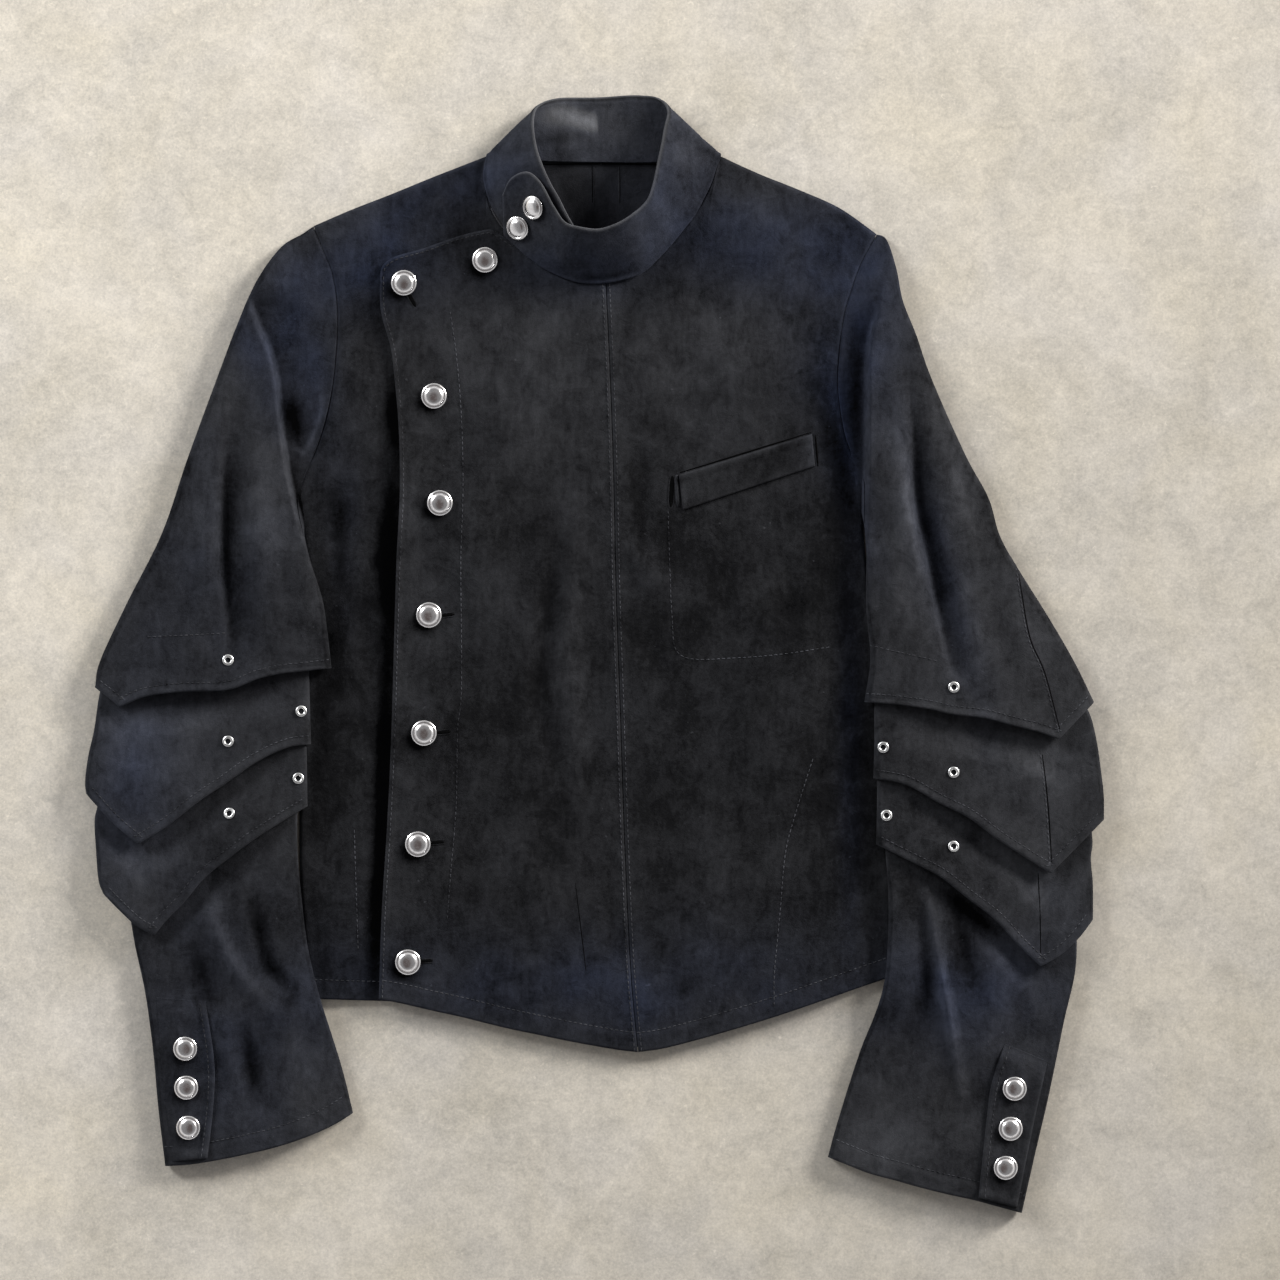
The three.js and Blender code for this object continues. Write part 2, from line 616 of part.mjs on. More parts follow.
function addSleeveTube(spec) {
  const { name, side, rows, lowerColumns } = spec;
  const upperColumns = spec.hem.length - 1;
  const plan = patch(spec.top, spec.hem, spec.rightEdge, spec.leftEdge);
  const hiddenBase = wall + layerGap;
  const shape = (x, y) => {
    if (spec.armhole) {
      const [near, far] = spec.recess;
      const out = smooth((toChain(x, y, spec.armhole) - near) / (far - near));
      return { base: 0, edge: mix(bodyThickness, spec.edge, out), crown: spec.crown * out };
    }
    const shown = smooth((yAt(spec.cover, x) - y - cover.margin) / cover.fade);
    return {
      base: (hiddenBase + ramp.slack * smooth(ramp.slackRate * climb(side, x, y))) * (1 - shown),
      edge: mix(spec.hiddenEdge, spec.edge, shown),
      crown: mix(spec.hiddenCrown, spec.crown, shown),
    };
  };
  const ring = (v, inset) => {
    const [start, end] = [plan(0, v), plan(1, v)];
    const width = start.distanceTo(end);
    const pointAt = (u, upperSide, angle) => {
      const isArc = angle !== undefined;
      const outline = plan(u, v);
      const at = shape(outline.x, outline.y);
      const radius = at.edge / 2;
      const inner = radius - inset;
      const fromEdge = isArc ? inset + inner * (1 - Math.cos(angle)) : 0;
      const share = u < 0.5 ? fromEdge / width : 1 - fromEdge / width;
      const point = isArc ? plan(share, v) : outline;
      const bell = isArc ? 0 : Math.sin(Math.PI * u) ** crownPower;
      const hasFolds = upperSide && !isArc;
      const folds = hasFolds ? foldHeight(spec.folds, point.x, point.y) * smooth(4 * u * (1 - u)) : 0;
      const rise = upperSide ? at.crown * bell + folds * (at.edge / spec.edge) : 0;
      const swing = isArc ? inner * Math.sin(angle) : inner;
      const z = at.base + radius + (upperSide ? swing : -swing) + rise;
      return point.setZ(z + ramp.height * climb(side, point.x, point.y));
    };
    const upper = Array.from({ length: upperColumns - 1 }, (_, i) => pointAt((i + 1) / upperColumns, true));
    const lower = Array.from(
      { length: lowerColumns - 1 },
      (_, i) => pointAt(1 - (i + 1) / lowerColumns, false),
    );
    return [
      ...arcAngles.map((angle) => pointAt(0, true, angle)),
      ...upper,
      ...[...arcAngles].reverse().map((angle) => pointAt(1, true, angle)),
      ...arcAngles.slice(1).map((angle) => pointAt(1, false, angle)),
      ...lower,
      ...arcAngles.slice(1).reverse().map((angle) => pointAt(0, false, angle)),
    ];
  };
  const stations = Array.from({ length: rows + 1 }, (_, r) => (r / rows) ** (spec.crowding ?? 1));
  const outer = stations.map((v) => ring(v, 0));
  const inner = stations.map((v) => ring(v, wall));
  addTube(name, outer, inner, suede);
  const topCount = upperColumns - 1 + 2 * arcAngles.length;
  return outer.map((line) => line.slice(0, topCount));
}

// A sleeve's side as a smooth chain, or as it is when it's straight.
const sideOf = (points) => (points.length > 2 ? curveThrough(points, 24) : chain(points));

const upperRight = {
  name: 'upper_sleeve_right',
  side: 'right',
  rows: 12,
  crowding: 1.25,
  lowerColumns: armholeSteps,
  armhole: armholeRight,
  recess: [8, 50],
  top: movedAside(armholeRight, -halfGap),
  rightEdge: sideOf([
    { x: -210.75, y: 320.25 },
    { x: -218.25, y: 315 },
    { x: -233.25, y: 306 },
    { x: -252.75, y: 279.75 },
    { x: -267.75, y: 246 },
    { x: -280.5, y: 212.25 },
    { x: -305.25, y: 144.75 },
    { x: -324, y: 90 },
    { x: -351.75, y: 34.5 },
    { x: -372, y: -10.5 },
    { x: -374.25, y: -25.5 },
  ]),
  leftEdge: sideOf([
    { x: -223.5, y: 119 },
    { x: -225, y: 108 },
    { x: -222.5, y: 94.5 },
    { x: -213, y: 67.5 },
    { x: -203.25, y: 39.75 },
    { x: -199.5, y: 15 },
    { x: -196.5, y: -11.25 },
  ]),
  hem: chain([
    { x: -374.25, y: -25.5 },
    { x: -354.75, y: -40.5 },
    { x: -336.75, y: -33 },
    { x: -310.5, y: -29.25 },
    { x: -285, y: -28.5 },
    { x: -276, y: -28 },
    { x: -267, y: -26 },
    { x: -251.25, y: -19.5 },
    { x: -233.25, y: -15.5 },
    { x: -215.25, y: -13.5 },
    { x: -196.5, y: -11.25 },
  ]),
  edge: 10,
  crown: 3.5,
  folds: [
    { x1: -267, y1: 177, x2: -271, y2: 4, width: 9, height: -4 },
    { x1: -256, y1: 262, x2: -232, y2: 145, width: 13, height: 4 },
    { x1: -299, y1: 137, x2: -333, y2: 10, width: 22, height: 2 },
    { x1: -228, y1: 72, x2: -222, y2: 2, width: 14, height: -1.5 },
  ],
};

const upperLeft = {
  name: 'upper_sleeve_left',
  side: 'left',
  rows: 12,
  crowding: 1.25,
  lowerColumns: armholeSteps,
  armhole: armholeLeft,
  recess: [4, 26],
  top: [...movedAside(armholeLeft, halfGap)].reverse(),
  rightEdge: sideOf([
    { x: 203.5, y: 126 },
    { x: 208, y: 112 },
    { x: 207, y: 92.25 },
    { x: 205.5, y: 73.5 },
    { x: 204, y: 31.5 },
    { x: 207, y: -4.5 },
    { x: 202.5, y: -36.75 },
  ]),
  leftEdge: sideOf([
    { x: 212.25, y: 314.25 },
    { x: 218.25, y: 312 },
    { x: 226.5, y: 289.5 },
    { x: 231.75, y: 264 },
    { x: 241.5, y: 239.25 },
    { x: 251.25, y: 210.75 },
    { x: 279.75, y: 146.25 },
    { x: 296.25, y: 115.5 },
    { x: 304.5, y: 87.75 },
    { x: 318.75, y: 62.25 },
    { x: 341.25, y: 26.25 },
    { x: 360.75, y: -7.5 },
    { x: 375, y: -36.75 },
  ]),
  hem: chain([
    { x: 202.5, y: -36.75 },
    { x: 223.5, y: -38.25 },
    { x: 237, y: -40 },
    { x: 253.5, y: -42.5 },
    { x: 263.25, y: -45 },
    { x: 272.25, y: -46.5 },
    { x: 293.25, y: -49 },
    { x: 312, y: -54 },
    { x: 333, y: -59.25 },
    { x: 348, y: -64.5 },
    { x: 375, y: -36.75 },
  ]),
  edge: 10,
  crown: 3.5,
  folds: [
    { x1: 237, y1: 160, x2: 267, y2: -1.5, width: 9, height: -4 },
    { x1: 265.5, y1: 149, x2: 280, y2: 94, width: 11, height: 2.5 },
    { x1: 209, y1: 231, x2: 206, y2: 130, width: 11, height: 3 },
    { x1: 300, y1: 60, x2: 335, y2: -30, width: 20, height: 1.5 },
  ],
};

const tier2Right = {
  name: 'tier_2_right',
  side: 'right',
  rows: 7,
  lowerColumns: 8,
  cover: upperRight.hem,
  top: chain([{ x: -365.25, y: -12.75 }, { x: -213.75, y: 3.75 }]),
  rightEdge: sideOf([
    { x: -365.25, y: -12.75 },
    { x: -369, y: -23.25 },
    { x: -371.5, y: -33.75 },
    { x: -375, y: -57.75 },
    { x: -379.5, y: -78 },
    { x: -381.75, y: -97.5 },
    { x: -381, y: -105 },
  ]),
  leftEdge: chain([{ x: -213.75, y: 3.75 }, { x: -212, y: -68.25 }]),
  hem: chain([
    { x: -381, y: -105 },
    { x: -360.75, y: -126.75 },
    { x: -341.25, y: -143.25 },
    { x: -319.5, y: -129.75 },
    { x: -295.5, y: -111 },
    { x: -275.25, y: -97.5 },
    { x: -251.25, y: -81 },
    { x: -228, y: -70.5 },
    { x: -212, y: -68.25 },
  ]),
  hiddenEdge: 5.4,
  hiddenCrown: 0.8,
  edge: 9.5,
  crown: 2.5,
  folds: [{ x1: -350, y1: -75, x2: -310, y2: -100, width: 16, height: 1.2 }],
};

const tier3Right = {
  name: 'tier_3_right',
  side: 'right',
  rows: 7,
  lowerColumns: 8,
  cover: tier2Right.hem,
  top: chain([{ x: -371.25, y: -89.25 }, { x: -215.5, y: -51.75 }]),
  rightEdge: sideOf([
    { x: -371.25, y: -89.25 },
    { x: -372, y: -105 },
    { x: -372.5, y: -114.75 },
    { x: -374.5, y: -123.75 },
    { x: -373.5, y: -149.25 },
    { x: -371.25, y: -172.5 },
    { x: -368.25, y: -180 },
  ]),
  leftEdge: chain([{ x: -215.5, y: -51.75 }, { x: -214.5, y: -114.75 }]),
  hem: chain([
    { x: -368.25, y: -180 },
    { x: -354.75, y: -193.5 },
    { x: -342, y: -204.75 },
    { x: -329.25, y: -211.5 },
    { x: -319.5, y: -199.5 },
    { x: -307.5, y: -187.5 },
    { x: -292.5, y: -169.5 },
    { x: -275.25, y: -155.25 },
    { x: -257.25, y: -141.75 },
    { x: -235.5, y: -127.5 },
    { x: -214.5, y: -114.75 },
  ]),
  hiddenEdge: 4.8,
  hiddenCrown: 0.2,
  edge: 9,
  crown: 2,
  folds: [{ x1: -345, y1: -150, x2: -318, y2: -175, width: 14, height: 1 }],
};

const lowerRight = {
  name: 'lower_sleeve_right',
  side: 'right',
  rows: 12,
  lowerColumns: 8,
  cover: tier3Right.hem,
  top: chain([
    { x: -352.5, y: -180 },
    { x: -341.25, y: -183 },
    { x: -329.25, y: -180 },
    { x: -314.25, y: -167.25 },
    { x: -295.5, y: -148.5 },
    { x: -275.25, y: -132.75 },
    { x: -257.25, y: -120 },
    { x: -239.25, y: -110.25 },
    { x: -222, y: -102.75 },
  ]),
  rightEdge: sideOf([
    { x: -352.5, y: -180 },
    { x: -348.75, y: -194.25 },
    { x: -344.25, y: -219.75 },
    { x: -336.75, y: -255 },
    { x: -330.75, y: -299.25 },
    { x: -327, y: -340.5 },
    { x: -321.75, y: -384.75 },
  ]),
  leftEdge: sideOf([
    { x: -222, y: -102.75 },
    { x: -222, y: -149.25 },
    { x: -219, y: -184.5 },
    { x: -214.5, y: -219.75 },
    { x: -207, y: -252 },
    { x: -198, y: -282 },
    { x: -188.25, y: -314.25 },
    { x: -180.75, y: -345 },
  ]),
  hem: chain([
    { x: -321.75, y: -384.75 },
    { x: -301.5, y: -383.25 },
    { x: -275.25, y: -378.75 },
    { x: -258, y: -375 },
    { x: -241.5, y: -371.25 },
    { x: -224.25, y: -366 },
    { x: -208.5, y: -360 },
    { x: -192.75, y: -352.5 },
    { x: -180.75, y: -345 },
  ]),
  hiddenEdge: 4.2,
  hiddenCrown: 0,
  edge: 7,
  crown: 2.5,
  folds: [
    { x1: -292, y1: -196, x2: -269, y2: -235, width: 10, height: 3 },
    { x1: -269, y1: -235, x2: -245, y2: -252, width: 10, height: 2.4 },
    { x1: -251, y1: -160, x2: -253, y2: -211, width: 9, height: -1.8 },
    { x1: -263, y1: -285, x2: -254, y2: -330, width: 9, height: -1.5 },
    { x1: -232, y1: -250, x2: -226, y2: -320, width: 13, height: 1.8 },
  ],
};

const tier2Left = {
  name: 'tier_2_left',
  side: 'left',
  rows: 7,
  lowerColumns: 8,
  cover: upperLeft.hem,
  top: chain([{ x: 211.5, y: -17.25 }, { x: 354, y: -14.25 }]),
  rightEdge: sideOf([
    { x: 211.5, y: -17.25 },
    { x: 210, y: -40.5 },
    { x: 210, y: -65.25 },
    { x: 209.25, y: -93.75 },
  ]),
  leftEdge: sideOf([
    { x: 354, y: -14.25 },
    { x: 363, y: -27.75 },
    { x: 369, y: -39.75 },
    { x: 372.75, y: -48 },
    { x: 377.25, y: -66.75 },
    { x: 380.25, y: -87.75 },
    { x: 382.5, y: -108 },
    { x: 382.5, y: -124.5 },
  ]),
  hem: chain([
    { x: 209.25, y: -93.75 },
    { x: 232.5, y: -98.25 },
    { x: 258.75, y: -112.5 },
    { x: 279.75, y: -123 },
    { x: 300, y: -138 },
    { x: 324, y: -153.75 },
    { x: 342, y: -165 },
    { x: 360.75, y: -146.25 },
    { x: 382.5, y: -124.5 },
  ]),
  hiddenEdge: 5.4,
  hiddenCrown: 0.8,
  edge: 9.5,
  crown: 2.5,
  folds: [{ x1: 290, y1: -85, x2: 330, y2: -110, width: 16, height: 1.2 }],
};

const tier3Left = {
  name: 'tier_3_left',
  side: 'left',
  rows: 7,
  lowerColumns: 8,
  cover: tier2Left.hem,
  top: chain([{ x: 213, y: -75.75 }, { x: 372, y: -99 }]),
  rightEdge: sideOf([
    { x: 213, y: -75.75 },
    { x: 212.25, y: -93.75 },
    { x: 212, y: -110.25 },
    { x: 211.5, y: -143.25 },
  ]),
  leftEdge: sideOf([
    { x: 372, y: -99 },
    { x: 372.75, y: -121.5 },
    { x: 373.5, y: -134.25 },
    { x: 374, y: -144 },
    { x: 372.75, y: -153.75 },
    { x: 374.25, y: -173.25 },
    { x: 374.25, y: -199.5 },
  ]),
  hem: chain([
    { x: 211.5, y: -143.25 },
    { x: 226.5, y: -150.75 },
    { x: 244.5, y: -159.75 },
    { x: 258.75, y: -167.25 },
    { x: 279.75, y: -183.75 },
    { x: 300, y: -199.5 },
    { x: 318, y: -219 },
    { x: 334.5, y: -234.75 },
    { x: 348, y: -227.25 },
    { x: 363, y: -213.75 },
    { x: 374.25, y: -199.5 },
  ]),
  hiddenEdge: 4.8,
  hiddenCrown: 0.2,
  edge: 9,
  crown: 2,
  folds: [{ x1: 300, y1: -160, x2: 330, y2: -190, width: 14, height: 1 }],
};

const lowerLeft = {
  name: 'lower_sleeve_left',
  side: 'left',
  rows: 12,
  lowerColumns: 8,
  cover: tier3Left.hem,
  top: chain([
    { x: 219, y: -128.25 },
    { x: 240.75, y: -135.75 },
    { x: 258.75, y: -147 },
    { x: 278.25, y: -159 },
    { x: 300, y: -174.75 },
    { x: 319.5, y: -189 },
    { x: 334.5, y: -200.25 },
    { x: 349.5, y: -196.5 },
    { x: 361.5, y: -185.25 },
  ]),
  rightEdge: sideOf([
    { x: 219, y: -128.25 },
    { x: 218.25, y: -144.75 },
    { x: 220.5, y: -179.25 },
    { x: 220.5, y: -208.5 },
    { x: 217.5, y: -246.75 },
    { x: 210.75, y: -270.75 },
    { x: 200.25, y: -297 },
    { x: 182.25, y: -353.25 },
    { x: 175.5, y: -378 },
  ]),
  leftEdge: sideOf([
    { x: 361.5, y: -185.25 },
    { x: 361.5, y: -204 },
    { x: 362.25, y: -217.5 },
    { x: 360.75, y: -240.75 },
    { x: 353.25, y: -273.75 },
    { x: 347.25, y: -303 },
    { x: 340.5, y: -335.25 },
    { x: 331.5, y: -373.5 },
    { x: 321, y: -420 },
  ]),
  hem: chain([
    { x: 175.5, y: -378 },
    { x: 190.5, y: -384 },
    { x: 206.25, y: -390 },
    { x: 225.75, y: -395.25 },
    { x: 244.5, y: -400.5 },
    { x: 264.75, y: -405.5 },
    { x: 285.75, y: -410.25 },
    { x: 303, y: -415 },
    { x: 321, y: -420 },
  ]),
  hiddenEdge: 4.2,
  hiddenCrown: 0,
  edge: 7,
  crown: 2.5,
  folds: [
    { x1: 238, y1: -164, x2: 257, y2: -235, width: 10, height: 2.6 },
    { x1: 257, y1: -235, x2: 271, y2: -315, width: 11, height: 2.6 },
    { x1: 232, y1: -185, x2: 250, y2: -241, width: 8, height: -1.8 },
    { x1: 250, y1: -241, x2: 235, y2: -297, width: 9, height: -1.5 },
    { x1: 300, y1: -240, x2: 296, y2: -310, width: 14, height: 1.6 },
  ],
};

const tubes = [upperRight, upperLeft, tier2Right, tier2Left, tier3Right, tier3Left, lowerRight, lowerLeft];
const grounds = Object.fromEntries(tubes.map((spec) => [spec.name, addSleeveTube(spec)]));

const placketRows = 6;
grounds.cuff_placket_right = addPatchOn('cuff_placket_right', grounds.lower_sleeve_right, {
  top: chain([{ x: -328, y: -258 }, { x: -291, y: -261 }]),
  bottom: chain([{ x: -315.5, y: -381 }, { x: -289.5, y: -378.5 }]),
  left: curveThrough([{ x: -328, y: -258 }, { x: -323, y: -320 }, { x: -315.5, y: -381 }], placketRows),
  right: curveThrough([
    { x: -291, y: -261 },
    { x: -284.25, y: -308 },
    { x: -285, y: -337.5 },
    { x: -289.5, y: -378.5 },
  ], placketRows),
  columns: 3,
  rows: placketRows,
  thickness: wall,
});

grounds.cuff_placket_left = addPatchOn('cuff_placket_left', grounds.lower_sleeve_left, {
  top: chain([{ x: 307.5, y: -292.5 }, { x: 340, y: -306 }]),
  bottom: chain([{ x: 288, y: -408 }, { x: 317, y: -415.5 }]),
  left: curveThrough([
    { x: 307.5, y: -292.5 },
    { x: 297.75, y: -323.25 },
    { x: 294.75, y: -344.25 },
    { x: 288, y: -408 },
  ], placketRows),
  right: curveThrough([{ x: 340, y: -306 }, { x: 330, y: -350 }, { x: 317, y: -415.5 }], placketRows),
  columns: 3,
  rows: placketRows,
  thickness: wall,
});

// Where a round piece sits on a surface: its centre, the surface's tilt, and the lift that clears folds.
// The reaches are shares of the radius.
const probe = { slopeReach: 0.8, rings: 3, ringStep: 0.35, perRing: 16 };
function seatOn(ground, x, y, radius) {
  const reach = radius * probe.slopeReach;
  const z = heightOn(ground, x, y);
  const at = (dx, dy) => heightOn(ground, x + dx, y + dy);
  const slope = (plus, minus) => {
    const sides = (plus !== undefined) + (minus !== undefined);
    return ((plus ?? z) - (minus ?? z)) / sides / reach;
  };
  const slopeX = slope(at(reach, 0), at(-reach, 0));
  const slopeY = slope(at(0, reach), at(0, -reach));
  const normal = new THREE.Vector3(-slopeX, -slopeY, 1).normalize();
  let lift = 0;
  for (let i = 0; i < probe.rings * probe.perRing; i += 1) {
    const angle = (i * 2 * Math.PI) / probe.perRing;
    const r = radius * probe.ringStep * (1 + Math.floor(i / probe.perRing));
    const [dx, dy] = [r * Math.cos(angle), r * Math.sin(angle)];
    const ring = at(dx, dy);
    if (ring !== undefined) lift = Math.max(lift, (ring - z - slopeX * dx - slopeY * dy) * normal.z);
  }
  return { position: new THREE.Vector3(x, y, z).addScaledVector(normal, lift + seatGap), normal };
}

function addRound(name, profile, segments, ground, x, y, radius) {
  const points = profile.map((row) => new THREE.Vector2(row.radius, row.height));
  const mesh = new THREE.Mesh(new THREE.LatheGeometry(points, segments), silver);
  const { position, normal } = seatOn(ground, x, y, radius);
  mesh.position.copy(position).sub(new THREE.Vector3(centre.x, centre.y, 0));
  mesh.quaternion.setFromUnitVectors(new THREE.Vector3(0, 1, 0), normal);
  mesh.name = name;
  jacket.add(mesh);
}

const buttonRadius = buttonDiameter / 2;
const buttonProfile = [
  { radius: 0, height: 0 },
  { radius: buttonRadius * 0.95, height: 0 },
  { radius: buttonRadius, height: 1.6 },
  { radius: buttonRadius * 0.78, height: 2.4 },
  { radius: buttonRadius * 0.42, height: 4.7 },
  { radius: 0, height: buttonHeight },
];
const eyeletRadius = eyeletDiameter / 2;
const eyeletProfile = [
  { radius: eyeletHole / 2, height: 0 },
  { radius: eyeletRadius, height: 0 },
  { radius: eyeletRadius - 0.4, height: 0.9 },
  { radius: eyeletHole / 2 + 0.4, height: 1.1 },
  { radius: eyeletHole / 2, height: 0 },
];

const tabColumns = 14;
const collarTab = collar.middle.map((line, r) => line.slice(0, tabColumns).map((point, c) => {
  return point.clone().addScaledVector(collar.normalAt(r, c), bandThickness / 2);
}));

const buttons = [
  { name: 'button_front_1', ground: overlapGround, x: -81.75, y: 294.75 },
  { name: 'button_front_2', ground: overlapGround, x: -142.5, y: 277.5 },
  { name: 'button_front_3', ground: overlapGround, x: -120, y: 192.75 },
  { name: 'button_front_4', ground: overlapGround, x: -115.5, y: 112.5 },
  { name: 'button_front_5', ground: overlapGround, x: -123.75, y: 28.5 },
  { name: 'button_front_6', ground: overlapGround, x: -127.5, y: -60 },
  { name: 'button_front_7', ground: overlapGround, x: -132, y: -143.25 },
  { name: 'button_front_8', ground: overlapGround, x: -139.5, y: -231.75 },
  { name: 'button_collar_1', ground: collarTab, x: -44.25, y: 333 },
  { name: 'button_collar_2', ground: collarTab, x: -56.25, y: 318.75 },
  { name: 'button_cuff_right_1', ground: grounds.cuff_placket_right, x: -306, y: -296.25 },
  { name: 'button_cuff_right_2', ground: grounds.cuff_placket_right, x: -305.25, y: -325.5 },
  { name: 'button_cuff_right_3', ground: grounds.cuff_placket_right, x: -303.75, y: -355.5 },
  { name: 'button_cuff_left_1', ground: grounds.cuff_placket_left, x: 315, y: -326.25 },
  { name: 'button_cuff_left_2', ground: grounds.cuff_placket_left, x: 312, y: -356.25 },
  { name: 'button_cuff_left_3', ground: grounds.cuff_placket_left, x: 308.25, y: -385.5 },
];
const eyelets = [
  { name: 'eyelet_right_1', ground: grounds.upper_sleeve_right, x: -273.75, y: -5.25 },
  { name: 'eyelet_right_2', ground: grounds.tier_2_right, x: -273.75, y: -66 },
  { name: 'eyelet_right_3', ground: grounds.tier_3_right, x: -273, y: -120 },
  { name: 'eyelet_right_4', ground: grounds.tier_2_right, x: -219, y: -43.5 },
  { name: 'eyelet_right_5', ground: grounds.tier_3_right, x: -221.25, y: -93.75 },
  { name: 'eyelet_left_1', ground: grounds.upper_sleeve_left, x: 269.25, y: -25.5 },
  { name: 'eyelet_left_2', ground: grounds.tier_2_left, x: 269.25, y: -89.25 },
  { name: 'eyelet_left_3', ground: grounds.tier_3_left, x: 269.25, y: -144.75 },
  { name: 'eyelet_left_4', ground: grounds.tier_2_left, x: 216.5, y: -70.5 },
  { name: 'eyelet_left_5', ground: grounds.tier_3_left, x: 219, y: -121.5 },
];
const buttonSides = 12;
const eyeletSides = 10;
buttons.forEach(({ name, ground, x, y }) => {
  addRound(name, buttonProfile, buttonSides, ground, x, y, buttonRadius);
});
eyelets.forEach(({ name, ground, x, y }) => {
  addRound(name, eyeletProfile, eyeletSides, ground, x, y, eyeletRadius);
});

export default jacket;
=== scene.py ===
import math

import bpy
import numpy as np
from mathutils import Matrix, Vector
from mathutils.bvhtree import BVHTree


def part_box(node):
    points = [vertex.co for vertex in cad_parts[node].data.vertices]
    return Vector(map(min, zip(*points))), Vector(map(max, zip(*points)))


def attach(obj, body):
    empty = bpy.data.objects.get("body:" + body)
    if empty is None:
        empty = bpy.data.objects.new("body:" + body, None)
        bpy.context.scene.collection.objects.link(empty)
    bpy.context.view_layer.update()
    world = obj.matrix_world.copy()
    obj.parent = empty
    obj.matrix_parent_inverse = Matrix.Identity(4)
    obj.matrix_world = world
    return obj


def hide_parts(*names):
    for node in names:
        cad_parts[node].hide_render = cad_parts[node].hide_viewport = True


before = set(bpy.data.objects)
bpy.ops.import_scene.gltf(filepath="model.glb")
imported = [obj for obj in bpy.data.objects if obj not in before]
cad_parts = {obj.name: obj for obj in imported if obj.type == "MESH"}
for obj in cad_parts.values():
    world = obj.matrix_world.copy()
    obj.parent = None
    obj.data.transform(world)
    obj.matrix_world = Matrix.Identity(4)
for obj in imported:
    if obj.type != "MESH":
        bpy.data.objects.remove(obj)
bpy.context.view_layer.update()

# Lengths are in millimetres until a mesh is made. x runs to the wearer's left, y up to the collar, z off
# the floor. Photo-left is the wearer's right.
cloth = {
    "wall": 1.6,  # one layer of suede
    "layerGap": 0.4,  # between two layers that lie on each other
    "seamGap": 0.5,  # between two panels at a seam
    "pitch": 2.3,  # between grid lines on what shows
    "edgeSteps": (0, 0.4, 0.9, 1.6, 2.6, 4.0, 5.8),  # grid lines beside an edge
    "swell": 0.55,  # slow rise and fall all over
    "swellLength": 85,
    "pucker": 0.16,  # small waves beside seams
}
patternCentre = np.array([0.55, -0.7, 0.0])
backTop = cloth["wall"]
underBase = backTop + cloth["layerGap"]  # underside of the front that lies next to the back
overLift = cloth["wall"] + cloth["layerGap"]
bodyThickness = underBase + cloth["wall"]
halfGap = cloth["seamGap"] / 2


def smooth(t):
    s = np.clip(t, 0, 1)
    return s * s * (3 - 2 * s)


def mix(a, b, t):
    return a + (b - a) * t


# A bell, 1 at the middle and fading over the width.
def bell(d, width):
    return np.exp(-(d / width) ** 2)


# One smooth stretch: cubic pieces whose slopes come from the square roots of the chords between rows.
def smoothStretch(points):
    ends = np.vstack([2 * points[0] - points[1], points, 2 * points[-1] - points[-2]])
    knot = np.linalg.norm(np.diff(ends, axis=0), axis=1)[:, None] ** 0.5
    step = np.diff(ends, axis=0) / knot
    span = (ends[2:] - ends[:-2]) / (knot[1:] + knot[:-1])
    slope = step[:-1] - span + step[1:]
    s = np.linspace(0, 1, 16, endpoint=False)[None, :, None]
    a, b = points[:-1, None], points[1:, None]
    m, n = (slope[:-1] * knot[1:-1])[:, None], (slope[1:] * knot[1:-1])[:, None]
    line = (2 * s**3 - 3 * s**2 + 1) * a + (s**3 - 2 * s**2 + s) * m
    line = line + (3 * s**2 - 2 * s**3) * b + (s**3 - s**2) * n
    return np.vstack([line.reshape(-1, points.shape[1]), points[-1]])


# A smooth line through the rows that keeps a corner at the rows whose numbers are given.
def curveThrough(rows, corners=()):
    points = np.asarray(rows, float)
    stops = [0, *corners, len(points) - 1]
    parts = [smoothStretch(points[a:b + 1]) for a, b in zip(stops, stops[1:])]
    return np.concatenate([parts[0], *[part[1:] for part in parts[1:]]])


# Points at the shares t of the line's length.
def along(line, t):
    run = np.concatenate([[0], np.cumsum(np.linalg.norm(np.diff(line, axis=0), axis=1))])
    place = np.asarray(t, float) * run[-1]
    return np.stack([np.interp(place, run, line[:, k]) for k in range(line.shape[1])], -1)


# The line moved to its left in plan.
def aside(line, distance):
    heading = np.gradient(line, axis=0)
    heading = heading / np.linalg.norm(heading, axis=1)[:, None]
    return line + distance * np.stack([-heading[:, 1], heading[:, 0]], -1)


# Flat patch between four edges: the two blends of opposite edges, less the blend of the corners.
def patch(edges, u, v):
    top, bottom, left, right = edges
    s, t = u[..., None], v[..., None]
    across = along(top, u) * (1 - t) + along(bottom, u) * t
    down = along(left, v) * (1 - s) + along(right, v) * s
    corners = mix(mix(top[0], top[-1], s), mix(bottom[0], bottom[-1], s), t)
    return across + down - corners


# For each point: its distance to a line, its share along it, and how far to the line's left it lies, from
# -1 to 1.
def toLine(x, y, line):
    best, share, side = np.full(x.shape, np.inf), np.zeros(x.shape), np.zeros(x.shape)
    for i, ((ax, ay), (bx, by)) in enumerate(zip(line[:-1], line[1:])):
        dx, dy = bx - ax, by - ay
        t = np.clip(((x - ax) * dx + (y - ay) * dy) / (dx * dx + dy * dy), 0, 1)
        gapX, gapY = x - ax - t * dx, y - ay - t * dy
        distance = np.hypot(gapX, gapY)
        near = distance < best
        best = np.where(near, distance, best)
        share = np.where(near, (i + t) / (len(line) - 1), share)
        turn = (dx * gapY - dy * gapX) / (math.hypot(dx, dy) * np.maximum(distance, 1e-6))
        side = np.where(near, turn, side)
    return best, share, side


